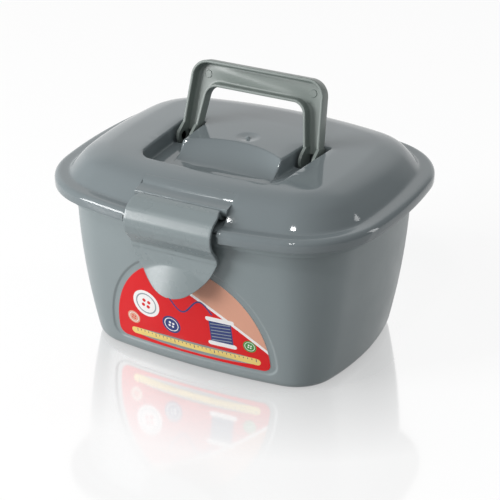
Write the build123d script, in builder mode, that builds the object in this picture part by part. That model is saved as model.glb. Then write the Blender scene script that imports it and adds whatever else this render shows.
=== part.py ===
from build123d import *
import os
from math import atan2, cos, degrees, hypot, radians, sin, sqrt

# Storage case for sewing or art things: a tapered tub, a domed lid on a rear hinge,
# a front latch, a fold-down carrying handle, a lift-out tray and a printed label.
# Millimetres, +Z up, front at -Y, origin in the middle of the resting face.

# Rim of the lid, seen from above
rim_half_x = 120.0
rim_half_y = 100.5
rim_end_bow = 15.0
rim_front_bow = 24.0
rim_corner = 59.0
rim_bottom = 112.0
rim_height = 8.0
rim_round = 4.0
lid_wall = 2.2

# Dome of the lid: how far in from the rim, and how far above it
dome_inset = 10.5
dome_knee_inset = 16.0
dome_knee_rise = 6.5
dome_shoulder_inset = 22.0
dome_shoulder_rise = 12.0
plateau_inset = 37.0
plateau_rise = 17.0
crown_rise = 2.4

# Body of the tub
shoulder_z = 105.5
base_half_x = 93.4
base_half_y = 71.4
base_end_bow = 14.0
base_front_bow = 9.0
base_corner = 30.0
body_inset_x = 14.6
body_inset_y = 10.0
body_end_bow = 15.5
body_front_bow = 22.5
body_corner = 50.0
body_swell = 2.2
base_round = 5.5
tub_wall = 2.2
floor_thickness = 2.4

# Neck and rim flange of the tub, inside the lid's skirt
neck_inset = 8.0
seat_gap = 0.3
ledge_thickness = 2.0
flange_inset = 2.7
flange_rise = 0.8
flange_thickness = 2.0

# Latch bay in the front of the lid, and the bar that carries the latch
bay_half = 33.0
bay_rear_inset = 29.7
bay_floor_thickness = 1.6
bay_lip_inset = 5.0
neck_bay_cut = 0.5
neck_bay_gap = 1.0
bar_inset = 21.0
bar_drop = 4.0
bar_radius = 6.0
web_low_angle = 5.0
web_high_angle = 70.0
web_root_rise = 2.6

# Latch
latch_side_gap = 1.5
latch_thickness = 2.2
bar_fit = 0.1
hook_start = 170.0
hook_sweep = 180.0
latch_brow_in = 5.0
latch_brow_rise = 6.6
latch_edge_step = 0.6
latch_lean = 1.0
latch_nib_rise = 2.0
latch_nib_drop = 0.4
latch_front_out = 1.6
latch_step_z = 105.0
latch_nib_gap = 0.4
tab_side_z = 97.0
tab_flare_z = 84.0
tab_knuckle_z = 72.0
tab_tip_z = 67.0
tab_cheek_half = 26.0
tab_knuckle_half = 14.5
tab_flare_out = 5.0

# Handle recess and the island that it runs round
recess_depth = 9.0
recess_front_y = -54.5
recess_front_half = 51.0
recess_rear_y = 15.5
recess_rear_half = 55.7
recess_front_sag = 2.0
recess_corner = 12.0
island_rear_half = 39.5
island_top_half = 36.5
island_top_y = -18.7
island_scoop = 12.2
island_base_half = 35.0
island_base_y = -28.0
island_base_bulge = 5.0
island_middle_share = 0.45
island_middle_scoop = 0.4
well_depth = 4.0
well_inner_gap = 0.4
well_outer_gap = 1.6
well_front_y = -3.0

# Handle
pivot_y = 4.5
pivot_rise = 11.0
handle_lean = 15.0
handle_reach = 53.5
grip_height = 17.0
handle_foot_half = 52.0
handle_top_half = 49.0
leg_foot_width = 11.5
leg_top_width = 13.4
handle_depth = 9.0
handle_front = 0.6
handle_outer_round = 12.0
handle_inner_round = 8.0
handle_wall = 2.0
handle_web = 2.4
eye_radius = 6.5
leg_start = 4.0
leg_blend = 9.0
trunnion_radius = 3.0
trunnion_fit = 0.05
trunnion_length = 5.2
gate_mark_radius = 2.75
gate_mark_height = 0.4
gate_mark_x = 39.5
gate_mark_drop = 10.0

# Rear hinge
hinge_half_spacing = 38.0
hinge_out = 1.0
hinge_drop = 6.0
hinge_pin_radius = 2.5
hinge_fit = 0.05
hinge_hook_wall = 2.1
hinge_hook_width = 14.0
hinge_side_gap = 0.4
ear_thickness = 4.0
ear_radius = 4.5
ear_root = 10.0
hook_mouth_angle = 300.0
hook_mouth = 4.2

# Label and its pocket on the front wall
pocket_half = 62.0
pocket_spring_z = 18.0
pocket_height = 70.0
pocket_bottom_z = 10.0
pocket_depth = 0.9
label_margin = 4.5
label_thickness = 0.25
label_glue = 0.05

# Lift-out tray
tray_rim_gap = 0.6
tray_rim_thickness = 1.6
tray_lip_half = 42.0
tray_lip_round = 8.0
tray_side_gap = 1.4
tray_depth = 36.0
tray_wall = 1.8
divider_thickness = 1.8
divider_drop = 6.0
cross_divider_x = 34.0
tray_grip_half = 30.0
tray_grip_rise = 4.0
grip_hole_width = 46.0
grip_hole_height = 13.0

# Levels and places that follow from the sizes above
rim_top = rim_bottom + rim_height
neck_top = rim_top - lid_wall - seat_gap
ledge_z = shoulder_z + ledge_thickness
plateau_z = rim_top + plateau_rise
recess_floor = plateau_z - recess_depth
rim_front_y = -rim_half_y
bay_rear_y = -(rim_half_y - bay_rear_inset)
bay_floor_top = rim_top - lid_wall + bay_floor_thickness
bar_y = -(rim_half_y - bar_inset)
bar_z = rim_top + dome_shoulder_rise - bar_drop
pivot_z = rim_top + pivot_rise
hinge_y = rim_half_y + hinge_out
hinge_z = rim_bottom - hinge_drop
latch_half = bay_half - latch_side_gap
bay_cut_y = -(rim_half_y - neck_inset - neck_bay_cut)


def bow_radius(half, bow):
    return (half * half + bow * bow) / (2 * bow)


class Outline:
    """A rectangle with four bowed sides and tangent round corners, centred on the origin."""

    def __init__(self, half_x, half_y, long_radius, short_radius, corner):
        self.half_x = half_x
        self.half_y = half_y
        self.long_radius = long_radius
        self.short_radius = short_radius
        self.corner = corner

    def inset(self, by):
        return Outline(
            self.half_x - by,
            self.half_y - by,
            self.long_radius - by,
            self.short_radius - by,
            self.corner - by,
        )

    def scaled(self, share):
        return Outline(
            self.half_x * share,
            self.half_y * share,
            self.long_radius * share,
            self.short_radius * share,
            self.corner * share,
        )

    def draw(self):
        """Eight arcs: each corner circle touches a long arc and a short one from inside."""
        long_y = self.half_y - self.long_radius
        short_x = self.half_x - self.short_radius
        to_long = self.long_radius - self.corner
        to_short = self.short_radius - self.corner
        span = hypot(short_x, long_y)
        along = (to_long**2 - to_short**2 + span**2) / (2 * span)
        across = sqrt(to_long**2 - along**2)
        corner_x = (along * short_x - across * long_y) / span
        corner_y = long_y - (along * long_y + across * short_x) / span
        steep = degrees(atan2(corner_y - long_y, corner_x))
        shallow = degrees(atan2(corner_y, corner_x - short_x))
        turn = steep - shallow
        for side, start in ((1, 0), (-1, 180)):
            CenterArc((0, side * long_y), self.long_radius, start + steep, 180 - 2 * steep)
            CenterArc((-side * corner_x, side * corner_y), self.corner, start + 180 - steep, turn)
            CenterArc((-side * short_x, 0), self.short_radius, start + 180 - shallow, 2 * shallow)
            CenterArc((-side * corner_x, -side * corner_y), self.corner, start + 180 + shallow, turn)


def section(outline, height):
    with BuildSketch(Plane.XY.offset(height)) as profile:
        with BuildLine():
            outline.draw()
        make_face()
    return profile.sketch


def slab(outline, low, high, mode=Mode.ADD):
    extrude(section(outline, low), amount=high - low, dir=(0, 0, 1), mode=mode)


def skin(levels, mode=Mode.ADD):
    loft([section(outline, height) for outline, height in levels], mode=mode)


def block(x_range, y_range, z_range, mode=Mode.ADD):
    with BuildSketch(Plane.XY.offset(z_range[0])) as profile:
        with Locations((sum(x_range) / 2, sum(y_range) / 2)):
            Rectangle(x_range[1] - x_range[0], y_range[1] - y_range[0])
    extrude(profile.sketch, amount=z_range[1] - z_range[0], mode=mode)


rim = Outline(
    rim_half_x,
    rim_half_y,
    bow_radius(rim_half_x, rim_front_bow),
    bow_radius(rim_half_y, rim_end_bow),
    rim_corner,
)


def body_outline(height, inset=0.0):
    """The tub's outline at a height: it widens upwards and swells a little half way."""
    share = height / shoulder_z
    swell = 4 * body_swell * share * (1 - share)
    half_x = base_half_x + (rim_half_x - body_inset_x - base_half_x) * share + swell
    half_y = base_half_y + (rim_half_y - body_inset_y - base_half_y) * share + swell
    front_bow = base_front_bow + (body_front_bow - base_front_bow) * share
    end_bow = base_end_bow + (body_end_bow - base_end_bow) * share
    corner = base_corner + (body_corner - base_corner) * share
    outline = Outline(half_x, half_y, bow_radius(half_x, front_bow), bow_radius(half_y, end_bow), corner)
    return outline.inset(inset)


def body_levels(low, high, inset=0.0, steps=3):
    heights = [low + (high - low) * i / steps for i in range(steps + 1)]
    return [(body_outline(height, inset), height) for height in heights]


def arch_face(margin):
    """The label's arch, seen from the front: half an ellipse on rounded bottom corners."""
    half = pocket_half - margin
    top = pocket_spring_z + pocket_height - margin
    bottom = pocket_bottom_z + margin * 0.5
    corner = pocket_spring_z - bottom
    with BuildSketch(Plane.XZ) as profile:
        with BuildLine():
            EllipticalCenterArc((0, pocket_spring_z), half, top - pocket_spring_z, 0, arc_size=180)
            RadiusArc((-half, pocket_spring_z), (-half + corner, bottom), -corner)
            Line((-half + corner, bottom), (half - corner, bottom))
            RadiusArc((half - corner, bottom), (half, pocket_spring_z), -corner)
        make_face()
    return profile.sketch


def conformal_sheet(margin, outer_inset, inner_inset):
    """A sheet of the front wall between two depths, cut to the label's arch."""
    skin(body_levels(0, shoulder_z, outer_inset))
    skin(body_levels(0, shoulder_z, inner_inset), mode=Mode.SUBTRACT)
    extrude(arch_face(margin), amount=rim_half_y + rim_front_bow, dir=(0, -1, 0), mode=Mode.INTERSECT)


# Pocket for the label, sunk into the front wall
with BuildPart() as label_pocket:
    conformal_sheet(0, -1.0, pocket_depth)

# Label, a thin printed sheet on the pocket's floor
with BuildPart() as label:
    conformal_sheet(label_margin, pocket_depth - label_glue - label_thickness, pocket_depth - label_glue)
label.part.label = "label"


def ear_profile(root_y):
    """A hinge ear from the side: a round eye on a root that runs back into the wall."""
    with Locations((hinge_y, hinge_z)):
        Circle(ear_radius)
    with Locations((root_y, shoulder_z + ledge_thickness - ear_root)):
        Rectangle(ear_radius, 2 * ear_root)
    make_hull()


# Tub
neck = rim.inset(neck_inset)
neck_hole = rim.inset(neck_inset + tub_wall)
flange_low = rim_bottom + flange_rise
flange_high = flange_low + flange_thickness
ear_offset = (hinge_hook_width + ear_thickness) / 2 + hinge_side_gap
with BuildPart() as tub:
    skin(body_levels(0, shoulder_z))
    fillet(tub.edges().group_by(Axis.Z)[0], base_round)
    slab(neck, shoulder_z, neck_top)
    slab(rim.inset(flange_inset), flange_low, flange_high)
    for side in (-1, 1):
        for step in (-1, 1):
            ear_x = side * hinge_half_spacing + step * ear_offset
            with BuildSketch(Plane.YZ.offset(ear_x)):
                ear_profile(rim_half_y - body_inset_y - ear_root)
            extrude(amount=ear_thickness / 2, both=True)
        with BuildSketch(Plane.YZ.offset(side * hinge_half_spacing)):
            with Locations((hinge_y, hinge_z)):
                Circle(hinge_pin_radius)
        extrude(amount=ear_offset, both=True)
    skin(body_levels(floor_thickness, ledge_z, tub_wall), mode=Mode.SUBTRACT)
    slab(neck_hole, ledge_z, neck_top, mode=Mode.SUBTRACT)
    add(label_pocket.part, mode=Mode.SUBTRACT)
    block(
        (-bay_half - neck_bay_gap, bay_half + neck_bay_gap),
        (bay_cut_y - neck_inset, bay_cut_y),
        (shoulder_z, neck_top),
        mode=Mode.SUBTRACT,
    )
tub.part.label = "tub"


def dome_levels(wall):
    """Dome of the lid, or its inner face one wall further in."""
    points = [
        (dome_inset, 0.0),
        (dome_knee_inset, dome_knee_rise),
        (dome_shoulder_inset, dome_shoulder_rise),
        (plateau_inset, plateau_rise),
    ]
    levels = []
    for i, (inset, rise) in enumerate(points):
        before = points[max(i - 1, 0)]
        after = points[min(i + 1, len(points) - 1)]
        run = after[0] - before[0]
        climb = after[1] - before[1]
        slope = hypot(run, climb)
        levels.append((rim.inset(inset + wall * climb / slope), rim_top + rise - wall * run / slope))
    return levels


def crown_levels(wall):
    """Low crown over the flat top of the dome."""
    edge, edge_z = dome_levels(wall)[-1]
    shares = (1.0, 0.75, 0.5, 0.25)
    return [(edge.scaled(share), edge_z + crown_rise * (1 - share * share)) for share in shares]


def recess_section(height, grow):
    front = recess_front_y - grow
    rear = recess_rear_y + grow
    left = (-recess_front_half - grow, front + recess_front_sag)
    right = (recess_front_half + grow, front + recess_front_sag)
    rear_half = recess_rear_half + grow
    with BuildSketch(Plane.XY.offset(height)) as profile:
        with BuildLine():
            ThreePointArc(left, (0, front), right)
            Polyline(right, (rear_half, rear), (-rear_half, rear), left)
        make_face()
        fillet(profile.vertices().group_by(Axis.Y)[0], recess_corner + grow)
    return profile.sketch


def island_section(height, half, front_y, middle_y, grow):
    rear = recess_rear_y + 3 * lid_wall
    left = (-half + grow, front_y + grow)
    right = (half - grow, front_y + grow)
    with BuildSketch(Plane.XY.offset(height)) as profile:
        with BuildLine():
            ThreePointArc(left, (0, middle_y + grow), right)
            Polyline(right, (island_rear_half - grow, rear), (-island_rear_half + grow, rear), left)
        make_face()
    return profile.sketch


def recess_solid(grow):
    """The space that the folded handle lies in, or that space with its walls round it."""
    floor = recess_floor - grow
    top = plateau_z + 2 * crown_rise
    extrude(recess_section(floor, grow), amount=top - floor)
    half_y = island_base_y + (island_top_y - island_base_y) * island_middle_share
    base = island_section(floor, island_base_half, island_base_y, island_base_y - island_base_bulge, grow)
    middle_z = (floor + plateau_z) / 2
    middle = island_section(middle_z, island_top_half, half_y, half_y + island_scoop * island_middle_scoop, grow)
    crest = island_section(plateau_z, island_top_half, island_top_y, island_top_y + island_scoop, grow)
    loft([base, middle, crest], mode=Mode.SUBTRACT)
    extrude(crest, amount=top - plateau_z, mode=Mode.SUBTRACT)
    for side in (-1, 1):
        inner = side * (island_rear_half + well_inner_gap - grow)
        outer = side * (recess_rear_half - well_outer_gap + grow)
        block(
            (min(inner, outer), max(inner, outer)),
            (well_front_y - grow, recess_rear_y + grow),
            (floor - well_depth, plateau_z - lid_wall),
        )


# Recess for the folded handle
with BuildPart() as handle_recess:
    recess_solid(0)

with BuildPart() as recess_shell:
    recess_solid(lid_wall)

# Hollow inside of the lid, with the walls of the recess and the latch bay left standing
with BuildPart() as lid_hollow:
    slab(rim.inset(lid_wall), rim_bottom, rim_top - lid_wall)
    hollow = dome_levels(lid_wall)
    slab(hollow[0][0], rim_top - lid_wall - 1, hollow[0][1])
    skin(hollow)
    skin(crown_levels(lid_wall))
    add(recess_shell.part, mode=Mode.SUBTRACT)
    block(
        (-bay_half - lid_wall, bay_half + lid_wall),
        (rim_front_y - 1, bay_rear_y + lid_wall),
        (rim_top - lid_wall, plateau_z),
        mode=Mode.SUBTRACT,
    )


def bar_profile():
    """The latch bar from the side, and the web that ties it to the dome."""
    low = radians(web_low_angle)
    high = radians(web_high_angle)
    back = bay_rear_y - bar_y
    with BuildSketch(Plane.YZ) as profile:
        with BuildLine():
            Polyline(
                (bar_y, bar_z),
                (bay_rear_y, bar_z + back * sin(low) / cos(low)),
                (bay_rear_y, rim_top + dome_shoulder_rise + web_root_rise),
                (bar_y + bar_radius * cos(high), bar_z + bar_radius * sin(high)),
                close=True,
            )
        make_face()
        with Locations((bar_y, bar_z)):
            Circle(bar_radius)
    return profile.sketch


# Lid
with BuildPart() as lid:
    slab(rim, rim_bottom, rim_top)
    fillet(lid.edges().group_by(Axis.Z)[-1], rim_round)
    skin(dome_levels(0))
    skin(crown_levels(0))
    for side in (-1, 1):
        with BuildSketch(Plane.YZ.offset(side * hinge_half_spacing)):
            with Locations((hinge_y, hinge_z)):
                Circle(hinge_pin_radius + hinge_fit + hinge_hook_wall)
            with Locations((rim_half_y - lid_wall, rim_bottom + lid_wall)):
                Rectangle(lid_wall, 2 * lid_wall)
            make_hull()
        extrude(amount=hinge_hook_width / 2, both=True)
    add(lid_hollow.part, mode=Mode.SUBTRACT)
    add(handle_recess.part, mode=Mode.SUBTRACT)
    block((-bay_half, bay_half), (rim_front_y - 1, bay_rear_y), (bay_floor_top, plateau_z), mode=Mode.SUBTRACT)
    block(
        (-bay_half, bay_half),
        (rim_front_y - 1, rim_front_y + bay_lip_inset),
        (rim_bottom, bay_floor_top),
        mode=Mode.SUBTRACT,
    )
    extrude(bar_profile(), amount=bay_half, both=True)
    for side in (-1, 1):
        with BuildSketch(Plane.YZ.offset(side * hinge_half_spacing)):
            with Locations((hinge_y, hinge_z)):
                Circle(hinge_pin_radius + hinge_fit)
            with Locations(Location((hinge_y, hinge_z, 0), (0, 0, hook_mouth_angle))):
                Rectangle(2 * ear_radius, hook_mouth, align=(Align.MIN, Align.CENTER))
        extrude(amount=hinge_hook_width / 2, both=True, mode=Mode.SUBTRACT)
    with BuildSketch(Plane.YZ):
        with Locations((pivot_y, pivot_z)):
            Circle(trunnion_radius + trunnion_fit)
    extrude(amount=recess_rear_half + 2 * lid_wall, both=True, mode=Mode.SUBTRACT)
lid.part.label = "lid"


# Latch: one strip that wraps the bar, runs down over the rim and ends in a thumb tab
latch_mid = latch_thickness / 2
hook_radius = bar_radius + bar_fit + latch_mid
front_y = rim_front_y - latch_front_out
tab_y = bay_cut_y - latch_nib_gap - latch_mid
hook_y = bar_y + hook_radius * cos(radians(hook_start))
hook_z = bar_z + hook_radius * sin(radians(hook_start))
with BuildPart() as latch:
    with BuildSketch(Plane.YZ):
        with BuildLine():
            CenterArc((bar_y, bar_z), hook_radius, hook_start, hook_sweep)
        trace(line_width=latch_thickness)
        with BuildLine():
            FilletPolyline(
                (hook_y, hook_z),
                (rim_front_y + latch_brow_in, rim_top + latch_brow_rise),
                (front_y + latch_edge_step, rim_top + latch_edge_step),
                (front_y, rim_bottom),
                (front_y + latch_lean, latch_step_z + latch_nib_rise),
                (tab_y, latch_step_z - latch_nib_drop),
                (tab_y, tab_flare_z),
                (tab_y - tab_flare_out, tab_tip_z),
                radius=(6.0, 4.0, 6.0, 1.8, 1.8, 14.0),
            )
        trace(line_width=latch_thickness)
    extrude(amount=latch_half, both=True)
    with BuildSketch(Plane.XZ):
        with BuildLine():
            Polyline(
                (latch_half, tab_side_z),
                (latch_half, plateau_z),
                (-latch_half, plateau_z),
                (-latch_half, tab_side_z),
            )
            ThreePointArc(
                (-latch_half, tab_side_z), (-tab_cheek_half, tab_flare_z), (-tab_knuckle_half, tab_knuckle_z)
            )
            ThreePointArc((-tab_knuckle_half, tab_knuckle_z), (0, tab_tip_z), (tab_knuckle_half, tab_knuckle_z))
            ThreePointArc((tab_knuckle_half, tab_knuckle_z), (tab_cheek_half, tab_flare_z), (latch_half, tab_side_z))
        make_face()
    extrude(amount=rim_half_y + 2 * lid_wall + tab_flare_out, mode=Mode.INTERSECT)
latch.part.label = "latch"

# Handle: a channel, open to the front, that leans back on its two feet
lean = radians(handle_lean)
facing = (0, -cos(lean), sin(lean))
handle_plane = Plane(origin=(0, pivot_y, pivot_z), x_dir=(1, 0, 0), z_dir=facing)


def handle_section(depth, margin):
    """The handle's outline, or the channel inside its flanges when there is a margin."""
    foot = handle_foot_half - margin
    head = handle_top_half - margin
    top = handle_reach - margin
    inner_foot = handle_foot_half - leg_foot_width + margin
    inner_head = handle_top_half - leg_top_width + margin
    inner_top = handle_reach - grip_height + margin
    with BuildSketch(handle_plane.offset(depth)) as profile:
        with BuildLine():
            FilletPolyline(
                (foot, leg_start),
                (head, top),
                (-head, top),
                (-foot, leg_start),
                radius=handle_outer_round - margin,
            )
            FilletPolyline(
                (inner_foot, leg_start),
                (inner_head, inner_top),
                (-inner_head, inner_top),
                (-inner_foot, leg_start),
                radius=handle_inner_round + margin,
            )
            Line((foot, leg_start), (inner_foot, leg_start))
            Line((-foot, leg_start), (-inner_foot, leg_start))
        make_face()
    return profile.sketch


eye_plane = Plane(origin=(0, pivot_y, pivot_z), x_dir=facing, z_dir=(1, 0, 0))
handle_back = handle_front - handle_depth
with BuildPart() as handle:
    extrude(handle_section(handle_front, 0), amount=handle_depth, dir=tuple(-c for c in facing))
    extrude(
        handle_section(handle_front, handle_wall),
        amount=handle_depth - handle_web,
        dir=tuple(-c for c in facing),
        mode=Mode.SUBTRACT,
    )
    for side in (-1, 1):
        leg_inner = handle_foot_half - leg_foot_width
        for flange_x in (leg_inner + handle_wall / 2, handle_foot_half - handle_wall / 2):
            with BuildSketch(eye_plane.offset(side * flange_x)):
                Circle(eye_radius)
                with Locations(((handle_front + handle_back) / 2, -(leg_start + leg_blend) / 2)):
                    Rectangle(handle_depth, leg_blend - leg_start)
                make_hull()
            extrude(amount=handle_wall / 2, both=True)
        with BuildSketch(eye_plane.offset(side * (handle_foot_half - handle_wall))):
            Circle(trunnion_radius)
        extrude(amount=side * (trunnion_length + handle_wall))
        with BuildSketch(handle_plane.offset(handle_back + handle_web)):
            with Locations((side * gate_mark_x, handle_reach - gate_mark_drop)):
                Circle(gate_mark_radius)
        extrude(amount=gate_mark_height)
handle.part.label = "handle"

# Tray: a dish that hangs from the ledge inside the neck by a lip at each end, with dividers
tray_lip_inset = neck_inset + tub_wall + tray_rim_gap
tray_top = ledge_z + tray_rim_thickness
tray_bottom = tray_top - tray_depth
tray_inset = tub_wall + tray_side_gap


def tray_levels(low, high, inset):
    return body_levels(low, high, tray_inset + inset, steps=2)


with BuildPart() as dividers:
    with BuildSketch(Plane.XY.offset(tray_bottom)):
        Rectangle(2 * rim_half_x, divider_thickness)
        for side in (-1, 1):
            with Locations((side * cross_divider_x, 0)):
                Rectangle(divider_thickness, 2 * rim_half_y)
    extrude(amount=tray_depth - divider_drop)
    with BuildSketch(Plane.XZ):
        with Locations((0, tray_top - grip_hole_height + tray_grip_rise)):
            RectangleRounded(2 * tray_grip_half, 2 * grip_hole_height, tray_grip_rise)
    extrude(amount=divider_thickness / 2, both=True)
    skin(tray_levels(tray_bottom, tray_top + tray_grip_rise, tray_wall / 2), mode=Mode.INTERSECT)

with BuildPart() as tray:
    with BuildSketch(Plane.XY.offset(ledge_z)):
        RectangleRounded(2 * (rim_half_x - tray_lip_inset), 2 * tray_lip_half, tray_lip_round)
    extrude(amount=tray_rim_thickness)
    slab(rim.inset(tray_lip_inset), ledge_z, tray_top, mode=Mode.INTERSECT)
    skin(tray_levels(tray_bottom, tray_top, 0))
    skin(tray_levels(tray_bottom + tray_wall, tray_top, tray_wall), mode=Mode.SUBTRACT)
    add(dividers.part)
    with BuildSketch(Plane.XZ):
        with Locations((0, tray_top - grip_hole_height)):
            SlotOverall(grip_hole_width, grip_hole_height)
    extrude(amount=divider_thickness, both=True, mode=Mode.SUBTRACT)
tray.part.label = "tray"

for piece in (tub, lid, latch, handle, label, tray):
    part = piece.part
    print(part.label, part.is_valid, len(part.solids()), round(part.volume, 1), part.bounding_box())

os.makedirs("parts", exist_ok=True)
for piece in (tub, lid, latch, handle, label, tray):
    export_step(piece.part, f"parts/{piece.part.label}.step")
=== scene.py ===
import math
import bmesh
import bpy
import numpy as np
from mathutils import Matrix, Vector
from mathutils.geometry import delaunay_2d_cdt


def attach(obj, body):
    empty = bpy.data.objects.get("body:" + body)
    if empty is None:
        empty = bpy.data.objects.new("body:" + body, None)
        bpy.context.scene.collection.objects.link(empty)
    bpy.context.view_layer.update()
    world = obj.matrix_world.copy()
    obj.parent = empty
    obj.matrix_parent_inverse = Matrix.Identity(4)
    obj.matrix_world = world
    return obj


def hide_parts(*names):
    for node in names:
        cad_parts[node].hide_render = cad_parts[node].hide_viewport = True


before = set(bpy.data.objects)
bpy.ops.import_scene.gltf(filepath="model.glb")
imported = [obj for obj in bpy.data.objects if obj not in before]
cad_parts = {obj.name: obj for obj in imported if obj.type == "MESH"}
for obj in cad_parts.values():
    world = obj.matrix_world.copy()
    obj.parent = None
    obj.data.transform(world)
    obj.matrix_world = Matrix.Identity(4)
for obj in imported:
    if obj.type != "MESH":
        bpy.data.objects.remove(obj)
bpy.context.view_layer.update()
mm = 0.001

# Sizes are in millimetres unless a note says otherwise, with z up and -y to the front. They repeat the CAD
# model's.


# Meshes

def newObject(name, verts, faces):
    # verts in millimetres
    mesh = bpy.data.meshes.new(name)
    mesh.from_pydata([tuple(v * mm for v in vert) for vert in verts], [], faces)
    mesh.validate()
    mesh.shade_smooth()
    obj = bpy.data.objects.new(name, mesh)
    bpy.context.scene.collection.objects.link(obj)
    return obj


def clean(obj, merge=1e-6):
    # Points nearer than a distance in metres are merged, and the faces turned outwards.
    work = bmesh.new()
    work.from_mesh(obj.data)
    if merge:
        bmesh.ops.remove_doubles(work, verts=work.verts, dist=merge)
        bmesh.ops.dissolve_degenerate(work, dist=merge / 10, edges=work.edges)
    bmesh.ops.recalc_face_normals(work, faces=work.faces)
    work.to_mesh(obj.data)
    work.free()


def bySharpness(obj, degrees):
    # Soft normals everywhere but at edges sharper than the angle.
    obj.data.shade_smooth()
    obj.data.set_sharp_from_angle(angle=math.radians(degrees))


def applyModifiers(obj):
    graph = bpy.context.evaluated_depsgraph_get()
    mesh = bpy.data.meshes.new_from_object(obj.evaluated_get(graph))
    obj.modifiers.clear()
    old = obj.data
    obj.data = mesh
    bpy.data.meshes.remove(old)


def solid(name, verts, faces, degrees, merge=1e-6):
    obj = newObject(name, verts, faces)
    clean(obj, merge)
    bySharpness(obj, degrees)
    return obj


def joined(name, parts):
    bpy.ops.object.select_all(action="DESELECT")
    for part in parts:
        part.select_set(True)
    bpy.context.view_layer.objects.active = parts[0]
    bpy.ops.object.join()
    parts[0].name = parts[0].data.name = name
    return parts[0]


def loftFaces(rings, around):
    # Quads between rings of points, one after the other, and a cap on each end.
    faces = []
    for row in range(rings - 1):
        a, b = row * around, (row + 1) * around
        for i in range(around):
            j = (i + 1) % around
            faces.append((a + i, a + j, b + j, b + i))
    last = (rings - 1) * around
    return faces + [tuple(reversed(range(around))), tuple(range(last, last + around))]


def loft(name, rings, degrees):
    verts = [vert for ring in rings for vert in ring]
    return solid(name, verts, loftFaces(len(rings), len(rings[0])), degrees)


def prism(name, profile, low, high, axis="x"):
    # A closed outline in the plane across the axis, run from low to high along it.
    places = {"x": lambda u, v, w: (w, u, v), "y": lambda u, v, w: (u, w, v), "z": lambda u, v, w: (u, v, w)}
    place = places[axis]
    return loft(name, [[place(u, v, w) for u, v in profile] for w in (low, high)], 30)


def easeEdges(obj, width):
    # Small rounds on the sharp edges.
    bevel = obj.modifiers.new("edges", "BEVEL")
    bevel.width = width * mm
    bevel.segments = 2
    bevel.limit_method = "ANGLE"
    bevel.angle_limit = math.radians(60)
    applyModifiers(obj)
    bySharpness(obj, 45)
    return obj


def outerEdges(faces):
    # Edges that only one triangle has, in its own direction.
    pairs = {(f[i], f[(i + 1) % 3]) for f in faces for i in range(3)}
    return [pair for pair in pairs if (pair[1], pair[0]) not in pairs]


def slab(name, front, back, faces, degrees, merge=1e-6):
    # Two like skins of triangles, joined along their outer edges.
    count = len(front)
    backs = [tuple(i + count for i in reversed(f)) for f in faces]
    sides = [(b, a, a + count, b + count) for a, b in outerEdges(faces)]
    return solid(name, front + back, faces + backs + sides, degrees, merge)


def handIn(obj, body, node):
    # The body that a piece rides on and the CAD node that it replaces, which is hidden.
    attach(obj, body)
    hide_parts(node)
    print(node, "made", len(obj.data.polygons))


# Curves

def quarter(steps):
    return [math.pi / 2 * i / steps for i in range(steps + 1)]


def arcPoints(centre, radius, start, sweep, steps):
    # Angles in degrees.
    angles = [math.radians(start + sweep * k / steps) for k in range(steps + 1)]
    return [(centre[0] + radius * math.cos(a), centre[1] + radius * math.sin(a)) for a in angles]


def bowRadius(half, bow):
    # The radius of an arc that bows out by a distance over twice a half width.
    return (half * half + bow * bow) / (2 * bow)


def circleThrough(a, b, c):
    # Centre and radius of the circle through three points.
    (ax, ay), (bx, by), (cx, cy) = a, b, c
    d = 2 * (ax * (by - cy) + bx * (cy - ay) + cx * (ay - by))
    sq = [x * x + y * y for x, y in (a, b, c)]
    x = (sq[0] * (by - cy) + sq[1] * (cy - ay) + sq[2] * (ay - by)) / d
    y = (sq[0] * (cx - bx) + sq[1] * (ax - cx) + sq[2] * (bx - ax)) / d
    return (x, y), math.hypot(ax - x, ay - y)


def divided(points, step, closed=False):
    # The polyline with its long sides cut into steps.
    rows = []
    last = len(points) if closed else len(points) - 1
    for i in range(last):
        a, b = np.array(points[i], float), np.array(points[(i + 1) % len(points)], float)
        count = max(1, math.ceil(np.hypot(*(b - a)) / step))
        rows.extend(tuple(a + (b - a) * k / count) for k in range(count))
    if not closed:
        rows.append(tuple(points[-1]))
    return rows


def roundCorner(before, here, after, radius, step):
    # Points on the arc that replaces a corner.
    toBefore, toAfter = (before - here).normalized(), (after - here).normalized()
    half = toBefore.angle(toAfter) / 2
    centre = here + (toBefore + toAfter).normalized() * radius / math.sin(half)
    start = here + toBefore * radius / math.tan(half) - centre
    turn = math.pi - 2 * half
    sign = 1 if toBefore.cross(toAfter) < 0 else -1
    steps = max(3, round(radius * turn / step))
    rows = []
    for k in range(steps + 1):
        a = sign * turn * k / steps
        rows.append((centre.x + start.x * math.cos(a) - start.y * math.sin(a),
                     centre.y + start.x * math.sin(a) + start.y * math.cos(a)))
    return rows


def roundedLoop(corners, radii, step):
    # A closed polyline, rounded at the corners that have a radius.
    points = []
    count = len(corners)
    for i, radius in enumerate(radii):
        before, here, after = (Vector(corners[(i + k) % count]) for k in (-1, 0, 1))
        points += roundCorner(before, here, after, radius, step) if radius else [corners[i]]
    return divided(points, step, True)


def roundedPath(corners, radii, step):
    # An open polyline with its inner corners rounded.
    rows = [tuple(corners[0])]
    for i, radius in enumerate(radii):
        before, here, after = (Vector(corner) for corner in corners[i:i + 3])
        rows += roundCorner(before, here, after, radius, step)
    return divided(rows + [tuple(corners[-1])], 2.5)


def convexHull(points):
    points = sorted(set(points))
    halves = []
    for order in (points, points[::-1]):
        chain = []
        for p in order:
            while len(chain) > 1 and ((chain[-1][0] - chain[-2][0]) * (p[1] - chain[-2][1])
                                      - (chain[-1][1] - chain[-2][1]) * (p[0] - chain[-2][0])) <= 0:
                chain.pop()
            chain.append(p)
        halves.extend(chain[:-1])
    return halves


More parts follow.
